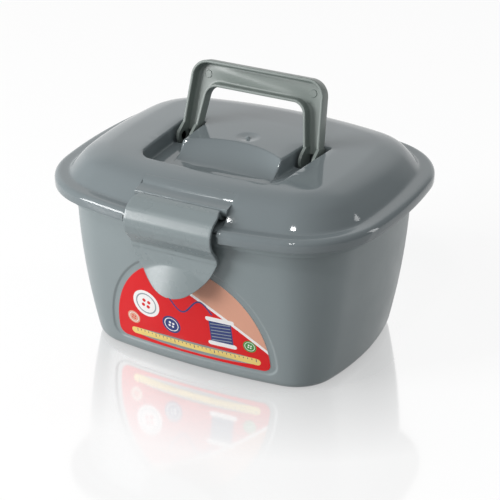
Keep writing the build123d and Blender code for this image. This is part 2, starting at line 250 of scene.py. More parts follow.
def segmentDistance(x, y, loop, closed=True):
    # Distance from points to a polyline.
    x, y = np.asarray(x, float), np.asarray(y, float)
    best = np.full(x.shape, 1e9)
    last = len(loop) if closed else len(loop) - 1
    for i in range(last):
        (ax, ay), (bx, by) = loop[i], loop[(i + 1) % len(loop)]
        dx, dy = bx - ax, by - ay
        t = np.clip(((x - ax) * dx + (y - ay) * dy) / (dx * dx + dy * dy), 0, 1)
        best = np.minimum(best, np.hypot(x - ax - t * dx, y - ay - t * dy))
    return best


def insideLoop(x, y, loop):
    # Even-odd test for points against a closed polyline.
    x, y = np.asarray(x, float), np.asarray(y, float)
    inside = np.zeros(x.shape, bool)
    for i in range(len(loop)):
        (ax, ay), (bx, by) = loop[i], loop[(i + 1) % len(loop)]
        crosses = (ay > y) != (by > y)
        rise = np.where(crosses, (by - ay) if by != ay else 1.0, 1.0)
        inside ^= crosses & (x < ax + (y - ay) * (bx - ax) / rise)
    return inside


def depthInside(x, y, loop):
    # Distance into a closed polyline, less than zero outside it.
    return np.where(insideLoop(x, y, loop), 1, -1) * segmentDistance(x, y, loop)


# Heights

def smoothMax(a, b, reach):
    near = np.maximum(reach - np.abs(a - b), 0) / reach
    return np.maximum(a, b) + near * near * reach / 4


def smoothMin(a, b, reach):
    return -smoothMax(-a, -b, reach)


def roundOver(past, radius):
    # How far a rounded edge has dropped at a distance past the start of its round.
    return radius - np.sqrt(np.maximum(radius**2 - past**2, 0))


def hermite(knots, values, slopes, x):
    # A cubic through the knots with the given slopes, straight on past both ends.
    knots, values, slopes = (np.array(row, float) for row in (knots, values, slopes))
    i = np.clip(np.searchsorted(knots, x) - 1, 0, len(knots) - 2)
    width = knots[i + 1] - knots[i]
    t = np.clip((x - knots[i]) / width, 0, 1)
    inside = ((2 * t**3 - 3 * t**2 + 1) * values[i] + (t**3 - 2 * t**2 + t) * width * slopes[i]
              + (3 * t**2 - 2 * t**3) * values[i + 1] + (t**3 - t**2) * width * slopes[i + 1])
    before = np.minimum(x - knots[0], 0) * slopes[0]
    after = np.maximum(x - knots[-1], 0) * slopes[-1]
    return inside + before + after


# Outlines with bowed sides

class Outline:
    # A rectangle with bowed sides and tangent round corners, seen from above.
    def __init__(self, halfX, halfY, longRadius, shortRadius, corner):
        self.halfX, self.halfY = halfX, halfY
        self.longRadius, self.shortRadius, self.corner = longRadius, shortRadius, corner
        self.longY = halfY - longRadius
        self.shortX = halfX - shortRadius
        toLong, toShort = longRadius - corner, shortRadius - corner
        span = math.hypot(self.shortX, self.longY)
        along = (toLong**2 - toShort**2 + span**2) / (2 * span)
        across = math.sqrt(toLong**2 - along**2)
        self.cornerX = (along * self.shortX - across * self.longY) / span
        self.cornerY = self.longY - (along * self.longY + across * self.shortX) / span
        self.steep = math.atan2(self.cornerY - self.longY, self.cornerX)
        self.shallow = math.atan2(self.cornerY, self.cornerX - self.shortX)

    def inset(self, by):
        return Outline(self.halfX - by, self.halfY - by, self.longRadius - by,
                       self.shortRadius - by, self.corner - by)

    def arcsRound(self, leave, counts):
        # Points from the right end of the front, which it leaves at an angle, round the back to its left end.
        # counts are the steps on a front corner, an end, a rear corner and the back.
        x, y, steep, shallow, pi = self.cornerX, self.cornerY, self.steep, self.shallow, math.pi
        frontCorner, end, rearCorner, back = counts
        arcs = (
            (x, -y, self.corner, -leave, -shallow, frontCorner),
            (self.shortX, 0, self.shortRadius, -shallow, shallow, end),
            (x, y, self.corner, shallow, steep, rearCorner),
            (0, self.longY, self.longRadius, steep, pi - steep, back),
            (-x, y, self.corner, pi - steep, pi - shallow, rearCorner),
            (-self.shortX, 0, self.shortRadius, pi - shallow, pi + shallow, end),
            (-x, -y, self.corner, pi + shallow, pi + leave, frontCorner),
        )
        rows = []
        for middleX, middleY, radius, start, stop, steps in arcs:
            angle = np.linspace(start, stop, steps, endpoint=False)
            rows.append(np.column_stack([middleX + radius * np.cos(angle), middleY + radius * np.sin(angle)]))
        return np.vstack(rows)

    def ring(self, front, counts):
        # A closed ring of points, anticlockwise from the left end of the front.
        angle = np.linspace(math.pi + self.steep, 2 * math.pi - self.steep, front, endpoint=False)
        arc = np.column_stack([self.longRadius * np.cos(angle), self.longRadius * np.sin(angle) - self.longY])
        return np.vstack([arc, self.arcsRound(self.steep, counts)])

    def frontAt(self, x):
        # y of the front at a place along it, out to the middle of the round corners.
        ax = abs(x)
        if ax <= self.longRadius * math.cos(self.steep):
            return -self.longY - math.sqrt(self.longRadius**2 - ax * ax)
        return -self.cornerY - math.sqrt(max(self.corner**2 - (ax - self.cornerX)**2, 0))

    def sideAt(self, y):
        # x of the right end at a place along it.
        ay = abs(y)
        if ay <= self.shortRadius * math.sin(self.shallow):
            return self.shortX + math.sqrt(self.shortRadius**2 - ay * ay)
        return self.cornerX + math.sqrt(max(self.corner**2 - (ay - self.cornerY)**2, 0))

    def depth(self, x, y):
        # How far inside the outline points lie.
        ax, ay = np.abs(x), np.abs(y)
        overLong = np.arctan2(ay - self.longY, ax) > self.steep
        underShort = np.arctan2(ay, ax - self.shortX) < self.shallow
        fromLong = self.longRadius - np.hypot(ax, ay - self.longY)
        fromShort = self.shortRadius - np.hypot(ax - self.shortX, ay)
        fromCorner = self.corner - np.hypot(ax - self.cornerX, ay - self.cornerY)
        return np.where(overLong, fromLong, np.where(underShort, fromShort, fromCorner))


# Skins made of triangles over a plan

class PlanSketch:
    # The points of a skin in its plan, and the chains of points that stay as edges.
    def __init__(self):
        self.points = []
        self.chains = []

    def dots(self, rows):
        self.points.extend((float(x), float(y)) for x, y in rows)

    def chain(self, rows, closed=False, keep=None):
        # Where keep is false, the points stay without an edge.
        start, count = len(self.points), len(rows)
        self.dots(rows)
        kept = np.ones(count, bool) if keep is None else keep
        for i in range(count if closed else count - 1):
            j = (i + 1) % count
            if kept[i] and kept[j]:
                self.chains.append((start + i, start + j))


def grid(x0, x1, y0, y1, stepX, stepY):
    return [(x, y) for x in np.arange(x0, x1, stepX) for y in np.arange(y0, y1, stepY)]


def triangulated(sketch, keep, height):
    # Triangles over the sketch where keep is true, lifted to a height function.
    points = [Vector(p) for p in sketch.points]
    verts, _, faces, _, _, _ = delaunay_2d_cdt(points, sketch.chains, [], 0, 1e-5)
    plan = np.array([(v.x, v.y) for v in verts])
    faces = np.array([f for f in faces if len(f) == 3])
    centres = plan[faces].mean(axis=1)
    faces = faces[keep(centres[:, 0], centres[:, 1])]
    used = np.unique(faces)
    order = np.full(len(plan), -1)
    order[used] = np.arange(len(used))
    plan = plan[used]
    z = height(plan[:, 0], plan[:, 1])
    return np.column_stack([plan, z]), [tuple(f) for f in order[faces].tolist()]


# Materials. A pattern's size in millimetres becomes its node's scale.

def linear(hexColour, alpha=1.0):
    # An sRGB hex colour as the linear values that sockets take.
    channels = [int(hexColour[i:i + 2], 16) / 255 for i in (1, 3, 5)]
    return tuple(c / 12.92 if c <= 0.04045 else ((c + 0.055) / 1.055) ** 2.4 for c in channels) + (alpha,)


def perMillimetre(size):
    # Scale of a noise whose features are about this big, on coordinates in metres.
    return 1 / (size * mm)


def addNode(tree, kind, inputs=None, links=None, **settings):
    # A node with its settings, its own socket values and its links, which map an input to an output socket.
    node = tree.nodes.new(kind)
    for name, value in settings.items():
        setattr(node, name, value)
    for name, value in (inputs or {}).items():
        node.inputs[name].default_value = value
    for name, socket in (links or {}).items():
        tree.links.new(socket, node.inputs[name])
    return node


def newMaterial(name):
    material = bpy.data.materials.new(name)
    material.use_nodes = True
    material.node_tree.nodes.clear()
    return material, material.node_tree


def mouldedPlastic(name, look):
    # Injection-moulded polypropylene: an even colour with a faint flow mottle, slow sink waves and a fine
    # grain. How the mould was finished sets the gloss.
    material, tree = newMaterial(name)
    place = addNode(tree, "ShaderNodeTexCoord").outputs["Object"]
    noise = {}
    octaves = {"flow": (2.0, 0.5), "sheen": (3.0, 0.6), "grain": (2.0, 0.55), "sink": (1.0, 0.5)}
    for part, (detail, uneven) in octaves.items():
        sizes = {"Scale": perMillimetre(look[part]), "Detail": detail, "Roughness": uneven}
        noise[part] = addNode(tree, "ShaderNodeTexNoise", sizes, {"Vector": place}).outputs["Fac"]
    colour = addNode(tree, "ShaderNodeMix", {"A": linear(look["dark"]), "B": linear(look["light"])},
                     {"Factor": noise["flow"]}, data_type="RGBA")
    rough = addNode(tree, "ShaderNodeMapRange", {"From Min": 0.3, "From Max": 0.7, "To Min": look["rough"][0],
                                                 "To Max": look["rough"][1]}, {"Value": noise["sheen"]})
    fine = addNode(tree, "ShaderNodeBump", {
        "Strength": look["grainStrength"], "Distance": look["grainDepth"] * mm}, {"Height": noise["grain"]})
    bump = addNode(tree, "ShaderNodeBump", {"Strength": 1.0, "Distance": look["sinkDepth"] * mm},
                   {"Height": noise["sink"], "Normal": fine.outputs["Normal"]})
    surface = addNode(tree, "ShaderNodeBsdfPrincipled", {"IOR": 1.49}, {
        "Base Color": colour.outputs["Result"], "Roughness": rough.outputs["Result"],
        "Normal": bump.outputs["Normal"]})
    addNode(tree, "ShaderNodeOutputMaterial", None, {"Surface": surface.outputs["BSDF"]})
    return material


def dress(obj, *materials):
    obj.data.materials.clear()
    for material in materials:
        obj.data.materials.append(material)
    return obj


# Geometry Nodes: copies of a piece in a row along x, evenly to both sides of the middle plane

def copiesTree():
    tree = bpy.data.node_groups.new("copiesInRow", "GeometryNodeTree")
    sockets = {}
    for name, kind, way in (("Piece", "Geometry", "INPUT"), ("Count", "Int", "INPUT"),
                            ("Spacing", "Float", "INPUT"), ("Plastic", "Material", "INPUT"),
                            ("Row", "Geometry", "OUTPUT")):
        socket = tree.interface.new_socket(name, in_out=way, socket_type="NodeSocket" + kind)
        sockets[name] = socket.identifier
    given = addNode(tree, "NodeGroupInput").outputs
    gaps = addNode(tree, "ShaderNodeMath", {1: 1.0}, {0: given["Count"]}, operation="SUBTRACT")
    reach = addNode(tree, "ShaderNodeMath", None, {0: gaps.outputs[0], 1: given["Spacing"]},
                    operation="MULTIPLY")
    left = addNode(tree, "ShaderNodeMath", {1: -0.5}, {0: reach.outputs[0]}, operation="MULTIPLY")
    start = addNode(tree, "ShaderNodeCombineXYZ", None, {"X": left.outputs[0]})
    offset = addNode(tree, "ShaderNodeCombineXYZ", None, {"X": given["Spacing"]})
    places = addNode(tree, "GeometryNodeMeshLine", None, {
        "Count": given["Count"], "Start Location": start.outputs[0], "Offset": offset.outputs[0]},
        mode="OFFSET")
    copies = addNode(tree, "GeometryNodeInstanceOnPoints", None, {
        "Points": places.outputs["Mesh"], "Instance": given["Piece"]})
    real = addNode(tree, "GeometryNodeRealizeInstances", None, {"Geometry": copies.outputs["Instances"]})
    plastic = addNode(tree, "GeometryNodeSetMaterial", None, {
        "Geometry": real.outputs["Geometry"], "Material": given["Plastic"]})
    addNode(tree, "NodeGroupOutput", None, {"Row": plastic.outputs["Geometry"]})
    return tree, sockets


rowTree, rowSockets = copiesTree()


def inRow(piece, count, spacing, plastic):
    modifier = piece.modifiers.new("copies", "NODES")
    modifier.node_group = rowTree
    for name, value in (("Count", count), ("Spacing", spacing * mm), ("Plastic", plastic)):
        modifier[rowSockets[name]] = value
    applyModifiers(piece)
    return piece


# Lid: one skin whose top is a height over the plan, with the latch's bay and bar and two snap hooks

rimSizes = {
    "halfX": 120.0, "halfY": 100.5, "endBow": 15.0, "frontBow": 24.0, "corner": 59.0,
    "top": 120.0, "round": 4.0, "wall": 2.2,
    "skirt": ((0.0, 114.2), (0.0, 112.5), (0.12, 112.12), (0.4, 112.0)),  # inset and height of each row
}
domeSizes = {
    "creaseInset": 10.5, "creaseRound": 1.6, "kneeInset": 16.0, "kneeRise": 6.5, "shoulderInset": 22.0,
    "shoulderRise": 12.0, "plateauInset": 37.0, "plateauRise": 17.0, "crownRise": 2.4, "plateauRound": 0.5,
    "slopes": (1.25, 1.06, 0.6, 0.24),  # at the crease, the knee, the shoulder and the plateau's edge
}
gateSizes = {"y": 4.4, "dip": 1.0, "radius": 8.6, "nib": 1.5, "nibRadius": 1.5}
recessSizes = {
    "frontY": -54.5, "frontHalf": 51.0, "rearY": 15.5, "rearHalf": 55.7, "frontSag": 2.0, "corner": 12.0,
    "floor": 128.0, "edgeRound": 1.7, "floorRound": 1.6, "draft": 0.5, "wellFloor": 124.0, "wellY": -3.0,
}
islandSizes = {
    "rearHalf": 39.1, "frontHalf": 36.2, "crestY": -18.7, "scoop": 12.2, "baseY": -29.0, "baseBulge": 6.0,
    "dish": 1.5, "baseRound": 0.9, "crestRound": 0.6,
}
baySizes = {
    "half": 33.0, "rearY": -70.8, "floor": 119.4, "floorUnder": 117.8, "floorFront": -95.5, "wall": 2.2,
    "cheekFront": -97.36, "cheekLow": 112.4, "cheekGap": 0.02, "cheekSink": 1.0, "rearSink": 1.2,
    "edgeRound": 0.6,
}
barSizes = {
    "y": -79.5, "z": 128.0, "radius": 6.0, "crestInset": 22.9, "overhang": 0.5,
    "root": 1.2, "rootSlope": 5.0, "rootSink": 0.5, "skinSink": 0.03, "skinEnd": 0.9, "crestSink": 0.6,
    # the crest's rounded step, forwards and up from where it begins
    "step": ((0.4, 0.24), (0.1, -0.02), (-0.2, -0.38), (-0.5, -0.8), (-0.85, -1.15), (-1.4, -1.42)),
    "brow": (-4.3, -0.2), "browRadius": 1.6,
}
hingeSizes = {
    "x": 38.0, "y": 101.5, "z": 106.0, "pin": 2.5, "bore": 2.55, "outer": 4.65, "width": 14.0,
    "mouthAngle": 300.0, "mouth": 4.2, "rootAngles": (72.0, 165.0),
    "root": ((99.6, 116.4), (97.2, 116.4), (97.2, 112.0)),
    "earOffset": 9.4, "ear": 4.0, "earRadius": 4.5, "earRoot": (80.5, 84.5), "earTop": 107.3, "earFoot": 88.0,
}
# Where the lid's skin has its points: distances from the edge that they follow, counts and grids.
lidMesh = {
    "front": 76, "counts": (34, 50, 34, 76), "clearance": 2.2, "bayClearance": 0.9,
    "rings": (5.5, 7.5, 9.0, 9.8, 10.2, 10.6, 11.0, 11.6, 12.4, 13.4, 14.6, 16.0, 17.5, 19.0, 20.5, 22.0,
              24.0, 26.0, 28.0, 30.0, 32.0, 34.0, 35.2, 36.0, 36.6, 37.1, 37.6, 38.2, 39.0, 40.5, 43.0, 47.0,
              52.0, 58.0, 65.0, 73.0),
    "bay": (0.0, 0.05, 0.18, 0.36, 0.6),
    "walls": (1.3, 1.05, 0.7, 0.35, 0.1, 0.0, -0.17, -0.33, -0.5, -0.7, -1.0, -1.4, -1.8, -2.15),
    "slopes": (-0.12, -0.06, -0.02, 0.02, 0.06, 0.12, 0.2, 0.3, 0.4, 0.5, 0.6, 0.7, 0.8, 0.86, 0.91, 0.95,
               0.98, 1.01, 1.04, 1.08, 1.14),
    "slopeEnd": 1.4, "wells": (-0.6, 0, 0.25, 0.5, 1.1), "wellX": (41.5, 51.5),
    "topGrid": (-32, 33, -3, 42, 5.0, 5.0), "floorGrid": (-44, 45, -50, -33, 4.0, 4.0),
    "sideGrid": (42.5, 50, -32, 13, 3.5, 4.0),
    "gate": (0.5, 1.0, 1.3, 1.6, 1.9, 2.4, 3.2, 4.2, 5.2, 6.2, 7.2, 7.9, 8.6, 9.3),
}
# Out of a polished mould, so it mirrors lamps with sharp edges.
lidLook = {
    "dark": "#747d80", "light": "#7a8386", "flow": 55.0, "sheen": 18.0, "rough": (0.05, 0.09), "grain": 0.35,
    "grainStrength": 0.35, "grainDepth": 0.006, "sink": 26.0, "sinkDepth": 0.02,
}
lidPlastic = mouldedPlastic("glossPolypropyleneLid", lidLook)

rim = Outline(rimSizes["halfX"], rimSizes["halfY"], bowRadius(rimSizes["halfX"], rimSizes["frontBow"]),
              bowRadius(rimSizes["halfY"], rimSizes["endBow"]), rimSizes["corner"])


def recessLoop(grow, step=1.4):
    # The recess seen from above, grown outward by a distance.
    front, rear = recessSizes["frontY"] - grow, recessSizes["rearY"] + grow
    side, sag = front + recessSizes["frontSag"], recessSizes["frontSag"]
    frontHalf, rearHalf = recessSizes["frontHalf"] + grow, recessSizes["rearHalf"] + grow
    turn = recessSizes["corner"] + grow
    bow = [(frontHalf * t, front + sag * t * t) for t in (-0.7, -0.45, -0.2, 0, 0.2, 0.45, 0.7)]
    corners = [(-frontHalf, side)] + bow + [(frontHalf, side), (rearHalf, rear), (-rearHalf, rear)]
    return roundedLoop(corners, [turn] + [0] * len(bow) + [turn, 0, 0], step)


recessPath = recessLoop(0)


def wallDrop(into, height):
    # How far a rounded, drafted wall of the given height has dropped at a distance into a pocket.
    edge = np.minimum(recessSizes["edgeRound"], height * 0.45)
    foot = np.minimum(recessSizes["floorRound"], height * 0.45)
    draft = recessSizes["draft"]
    top = roundOver(np.clip(into + edge, 0, edge), edge)
    face = edge + np.clip(into / draft, 0, 1) * np.maximum(height - edge - foot, 0)
    bottom = height - roundOver(np.clip(draft + foot - into, 0, foot), foot)
    return np.where(into <= 0, top, np.where(into < draft, face, bottom))


def islandSide(y):
    share = (y - islandSizes["baseY"]) / (recessSizes["rearY"] - islandSizes["baseY"])
    return islandSizes["frontHalf"] + (islandSizes["rearHalf"] - islandSizes["frontHalf"]) * share


def islandRow(share, along):
    # y of the island's sloping front: share 0 is its foot, 1 its crest, and along runs from -1 to 1.
    swell = 1 - along * along
    foot = islandSizes["baseY"] - islandSizes["baseBulge"] * swell
    crest = islandSizes["crestY"] + islandSizes["scoop"] * swell
    return foot + (crest - foot) * share


def crownShare(x, y):
    # The scale of the copy of the plateau's edge that a point is on: 1 on the edge, less towards the middle.
    edge = rim.inset(domeSizes["plateauInset"])
    low, high = np.full(np.shape(x), 0.01), np.full(np.shape(x), 1.5)
    for _ in range(22):
        middle = (low + high) / 2
        inside = edge.depth(x / middle, y / middle) > 0
        low, high = np.where(inside, low, middle), np.where(inside, middle, high)
    return (low + high) / 2


def domeTop(x, y):
    # Height of the lid's outside without its recess and its bay.
    depth = rim.depth(x, y)
    edge, rimTop = rimSizes["round"], rimSizes["top"]
    bead = rimTop - roundOver(np.clip(edge - depth, 0, edge), edge)
    knots = [domeSizes[name] for name in ("creaseInset", "kneeInset", "shoulderInset", "plateauInset")]
    rises = [0, domeSizes["kneeRise"], domeSizes["shoulderRise"], domeSizes["plateauRise"]]
    dome = rimTop + hermite(knots, rises, domeSizes["slopes"], depth)
    crown = rimTop + domeSizes["plateauRise"] + domeSizes["crownRise"] * (1 - crownShare(x, y)**2)
    return smoothMin(smoothMax(bead, dome, domeSizes["creaseRound"]), crown, domeSizes["plateauRound"])


def gateMark(x, y):
    # The moulding gate: a shallow dimple with a cut nib in it.
    out = np.hypot(x, y - gateSizes["y"])
    dimple = -gateSizes["dip"] * np.maximum(1 - (out / gateSizes["radius"])**2, 0)**1.4
    return dimple + gateSizes["nib"] * np.exp(-(out / gateSizes["nibRadius"])**4)


def recessGround(x, y, top):
    # The recess's floor with its two deeper wells, and the island, which is cut off by the lid's top.
    well = np.clip((y - recessSizes["wellY"]) / recessSizes["draft"], 0, 1)
    floor = recessSizes["floor"] + (recessSizes["wellFloor"] - recessSizes["floor"]) * well
    along = np.clip(x / islandSide(y), -1, 1)
    foot, crest = islandRow(0, along), islandRow(1, along)
    share = (y - foot) / (crest - foot)
    crestZ = domeTop(along * islandSizes["frontHalf"], crest)
    ramp = np.where(share < 1, np.clip(share, 0, 1)**islandSizes["dish"], 1 + 2 * (share - 1))
    slope = recessSizes["floor"] + (crestZ - recessSizes["floor"]) * ramp
    island = smoothMin(top, smoothMax(floor, slope, islandSizes["baseRound"]), islandSizes["crestRound"])
    past = np.abs(x) - islandSide(y)
    return island - wallDrop(past, np.maximum(island - floor, 1e-3))


def lidHeight(x, y):
    x, y = np.asarray(x, float), np.asarray(y, float)
    top = domeTop(x, y) + gateMark(x, y)
    into = depthInside(x, y, recessPath)
    height = top - wallDrop(into, np.maximum(top - recessGround(x, y, top), 1e-3))
    # the bay's side edges are rounded, and the round fades out past its rear
    edge = baySizes["edgeRound"]
    beside = np.abs(x) - baySizes["half"]
    fromBay = np.where(beside < 0, edge, np.hypot(beside, 3 * np.maximum(y - baySizes["rearY"], 0)))
    return height - roundOver(np.clip(edge - fromBay, 0, edge), edge)


def bayPath(out, step=1.5):
    # The edge of the latch bay seen from above, moved out by a distance, from one rim to the other.
    half, rear, front = baySizes["half"], baySizes["rearY"], -rimSizes["halfY"] - 1
    angles = quarter(4) if out else [0]
    path = [(half + out, front)] + [(half + out * math.cos(a), rear + out * math.sin(a)) for a in angles]
    return divided(path + [(-x, y) for x, y in reversed(path)], step)


def lidSketch():
    sketch = PlanSketch()
    nearRecess = recessLoop(lidMesh["clearance"], 4)
    nearBay = lidMesh["bayClearance"]
    beadRings = [rimSizes["round"] * (1 - math.cos(a)) for a in quarter(7)]
    for depth in beadRings + list(lidMesh["rings"]):
        ring = rim.inset(depth).ring(lidMesh["front"], lidMesh["counts"])
        x, y = ring[:, 0], ring[:, 1]
        inBay = (np.abs(x) < baySizes["half"] + nearBay) & (y < baySizes["rearY"] + nearBay)
        sketch.chain(ring, True, ~insideLoop(x, y, nearRecess) & ~inBay)
    for out in lidMesh["bay"]:
        sketch.chain(bayPath(out))
    for grow in lidMesh["walls"]:
        sketch.chain(recessLoop(grow), True)
    # the island's sides run a little past its foot and the recess's rear wall
    rows = np.linspace(recessSizes["rearY"] + 1, islandSizes["baseY"] - 1.5, 44)
    for side in (-1, 1):
        for grow in lidMesh["walls"]:
            sketch.chain([(side * (islandSide(y) - grow), y) for y in rows])
    along = np.linspace(-1, 1, 45)
    for share in lidMesh["slopes"]:
        y = islandRow(share, along)
        sketch.chain(list(zip(along * (islandSide(y) - lidMesh["slopeEnd"]), y)))
    across = np.linspace(*lidMesh["wellX"], 6)
    for side in (-1, 1):
        for shift in lidMesh["wells"]:
            sketch.chain([(side * x, recessSizes["wellY"] + shift) for x in across])
    sketch.dots(grid(*lidMesh["topGrid"]))
    sketch.dots(grid(*lidMesh["floorGrid"]))
    sketch.dots((side * x, y) for side in (-1, 1) for x, y in grid(*lidMesh["sideGrid"]))
    for radius in lidMesh["gate"]:
        steps = max(8, round(radius * 5))
        sketch.dots(arcPoints((0, gateSizes["y"]), radius, 0, 360, steps)[:-1])
    return sketch


def inLid(x, y):
    inBay = (np.abs(x) < baySizes["half"]) & (y < baySizes["rearY"])
    return (rim.depth(x, y) > -0.01) & ~inBay


def lidSkin():
    # The top, a skirt down from its rim, and the wall's thickness.
    verts, faces = triangulated(lidSketch(), inLid, lidHeight)
    rows = [tuple(v) for v in verts]
    x, y = verts[:, 0], verts[:, 1]
    depths, step = rim.depth(x, y), 0.05
    inwardX = (rim.depth(x + step, y) - depths) / step
    inwardY = (rim.depth(x, y + step) - depths) / step
    onRim = depths < 0.02
    edges = [(a, b) for a, b in outerEdges(faces) if onRim[a] and onRim[b]]
    above = {}
    for inset, z in rimSizes["skirt"]:
        below = {}
        for a in {i for edge in edges for i in edge}:
            below[a] = len(rows)
            rows.append((x[a] + inwardX[a] * inset, y[a] + inwardY[a] * inset, z))
        for a, b in edges:
            faces.append((above.get(b, b), above.get(a, a), below[a], below[b]))
        above = below
    skin = newObject("lid_skin", rows, faces)
    solidify = skin.modifiers.new("wall", "SOLIDIFY")
    solidify.thickness = rimSizes["wall"] * mm
    solidify.offset = -1
    solidify.use_quality_normals = True
    applyModifiers(skin)
    bySharpness(skin, 40)
    return skin


def bayBar():
    # The bar that carries the latch: the dome runs out over it to a crisp step, and its front closes below.
    y, z, rear, root = barSizes["y"], barSizes["z"], baySizes["rearY"], baySizes["rearY"] + barSizes["root"]
    joinZ = z + (rear - y) * math.tan(math.radians(barSizes["rootSlope"]))
    browY, browZ = barSizes["brow"]
    brow = arcPoints((y + browY, z + browZ), barSizes["browRadius"], 80, 100, 8)
    under = arcPoints((y, z), barSizes["radius"], 187, 178, 40)
    half = baySizes["half"] + barSizes["overhang"]
    rows = []
    for x in np.linspace(-half, half, 34):
        crest = rim.frontAt(x) + barSizes["crestInset"]
        skin = [(root, float(domeTop(x, rear)) - barSizes["rootSink"])]
        for v in np.linspace(rear, crest + barSizes["skinEnd"], 7):
            skin.append((v, float(domeTop(x, v)) - barSizes["skinSink"]))
        crestZ = skin[-1][1] - barSizes["crestSink"]
        skin += [(crest + into, crestZ + rise) for into, rise in barSizes["step"]]
        rows.append([(x, u, v) for u, v in skin + brow + under + [(rear, joinZ), (root, joinZ)]])
    return loft("bay_bar", rows, 50)


def lidBay():
    # The latch bay's floor, rear wall and cheeks, and its bar.
    half, wall = baySizes["half"], baySizes["wall"]
    floorFront, floor, under = baySizes["floorFront"], baySizes["floor"], baySizes["floorUnder"]
    inner, outer = baySizes["rearY"], baySizes["rearY"] + wall
    base = prism("bay_floor", [(floorFront, under), (outer, under), (outer, floor), (floorFront, floor)],
                 -half - wall, half + wall)
    x = np.linspace(-half - wall, half + wall, 15)
    top = domeTop(x, np.full(15, outer)) - baySizes["rearSink"]
    foot = [(-half - wall, floor - 0.5), (half + wall, floor - 0.5)]
    back = prism("bay_rear", foot + list(zip(x, top))[::-1], inner, outer, "y")
    y = np.linspace(baySizes["cheekFront"], outer, 40)
    top = domeTop(np.full(40, half + wall), y) - baySizes["cheekSink"]
    low, gap = baySizes["cheekLow"], baySizes["cheekGap"]
    foot = [(outer, under), (floorFront, under), (floorFront, low), (float(y[0]), low)]
    cheek = prism("bay_cheek", list(zip(y, top)) + foot, (gap - wall) / 2, (wall - gap) / 2)
    return [base, back, inRow(cheek, 2, 2 * half + wall + gap, lidPlastic), bayBar()]


def lidHooks():
    # Snap hooks that reach down from the skirt and clip over the tub's bars.
    centre, bore, outer = (hingeSizes["y"], hingeSizes["z"]), hingeSizes["bore"], hingeSizes["outer"]
    gapOut, gapIn = (math.degrees(math.asin(hingeSizes["mouth"] / 2 / radius)) for radius in (outer, bore))
    mouth, half = hingeSizes["mouthAngle"], hingeSizes["width"] / 2
    rootFrom, rootTo = hingeSizes["rootAngles"]
    profile = arcPoints(centre, outer, mouth + gapOut, 360 + rootFrom - mouth - gapOut, 24)
    profile += hingeSizes["root"]
    profile += arcPoints(centre, outer, rootTo, mouth - gapOut - rootTo, 24)
    profile += arcPoints(centre, bore, mouth - gapIn, 2 * gapIn - 360, 30)
    return inRow(prism("hook", profile, -half, half), 2, 2 * hingeSizes["x"], lidPlastic)


lidShell = dress(joined("lidShell", [lidSkin()] + lidBay() + [lidHooks()]), lidPlastic)
handIn(lidShell, "lid", "lid")


# Tub: a tapered body on a rolled base, a shoulder, and a neck with a flange under the lid's skirt

bodySizes = {
    # half width, half depth, bow of the ends, bow of the front and corner
    "base": (93.4, 71.4, 14.0, 9.0, 30.0), "top": (105.4, 90.5, 15.5, 22.5, 50.0),
    "shoulder": 105.5, "swell": 2.2, "baseRound": 5.5, "wall": 2.2, "floor": 2.4, "shoulderRound": 1.0,
}
neckSizes = {
    "inset": 8.0, "wall": 2.2, "top": 117.5, "ledge": 107.5, "flangeInset": 2.7, "flangeLow": 112.8,
    "flangeHigh": 114.8, "cutHalf": 34.0, "cutY": -92.0,
}
pocketSizes = {
    "half": 62.0, "springZ": 18.0, "height": 70.0, "bottomZ": 10.0, "depth": 0.9,
    "softFrom": 1.2, "softWidth": 2.2,  # how far outside the arch its soft edge starts, and the edge's width
}
# The part of the front wall that has its own finer mesh, for the pocket
panelSizes = {"half": 70.0, "low": 6.0, "high": 100.0, "rows": 26, "grid": (-66, 67, 9, 99, 4.0, 3.5),
              "edges": (-1.6, -1.2, -0.9, -0.55, -0.2, 0.15, 0.5, 0.8, 1.1, 1.5), "clearance": 2.6}
tubCounts = (14, 26, 24, 40)
# Out of a satin mould, so lamps spread to soft, wide sheens.
tubLook = {
    "dark": "#828c8e", "light": "#899395", "flow": 60.0, "sheen": 22.0, "rough": (0.32, 0.4), "grain": 0.3,
    "grainStrength": 0.6, "grainDepth": 0.012, "sink": 30.0, "sinkDepth": 0.02,
}
tubPlastic = mouldedPlastic("satinPolypropyleneTub", tubLook)

# Every row of the tub has a point at these places along its front, two of them close to each end of the cut.
cutEnds = [neckSizes["cutHalf"] - 0.02, neckSizes["cutHalf"] + 0.02]
sideColumns = cutEnds + list(np.linspace(37, panelSizes["half"], 9))
frontColumns = [-x for x in reversed(sideColumns)] + list(np.linspace(-30, 30, 16)) + sideColumns


def bodyOutline(height, inset=0.0):
    # The body at a height: the base's outline blended into the shoulder's, with a slight swell between them.
    share = height / bodySizes["shoulder"]
    swell = 4 * bodySizes["swell"] * share * (1 - share)
    blend = [low + (high - low) * share for low, high in zip(bodySizes["base"], bodySizes["top"])]
    halfX, halfY, endBow, frontBow, corner = blend
    halfX, halfY = halfX + swell, halfY + swell
    return Outline(halfX, halfY, bowRadius(halfX, frontBow), bowRadius(halfY, endBow), corner).inset(inset)


def tubRow(outline, z, cut=False):
    # One closed row of points: the front at fixed places, then anticlockwise round the back. The neck is cut
    # flat behind the latch.
    leave = math.acos((panelSizes["half"] - outline.cornerX) / outline.corner)
    row = [(x, outline.frontAt(x)) for x in frontColumns[:-1]] + outline.arcsRound(leave, tubCounts).tolist()
    if cut:
        row = [(x, max(y, neckSizes["cutY"])) if abs(x) < neckSizes["cutHalf"] else (x, y) for x, y in row]
    return [(x, y, z) for x, y in row]


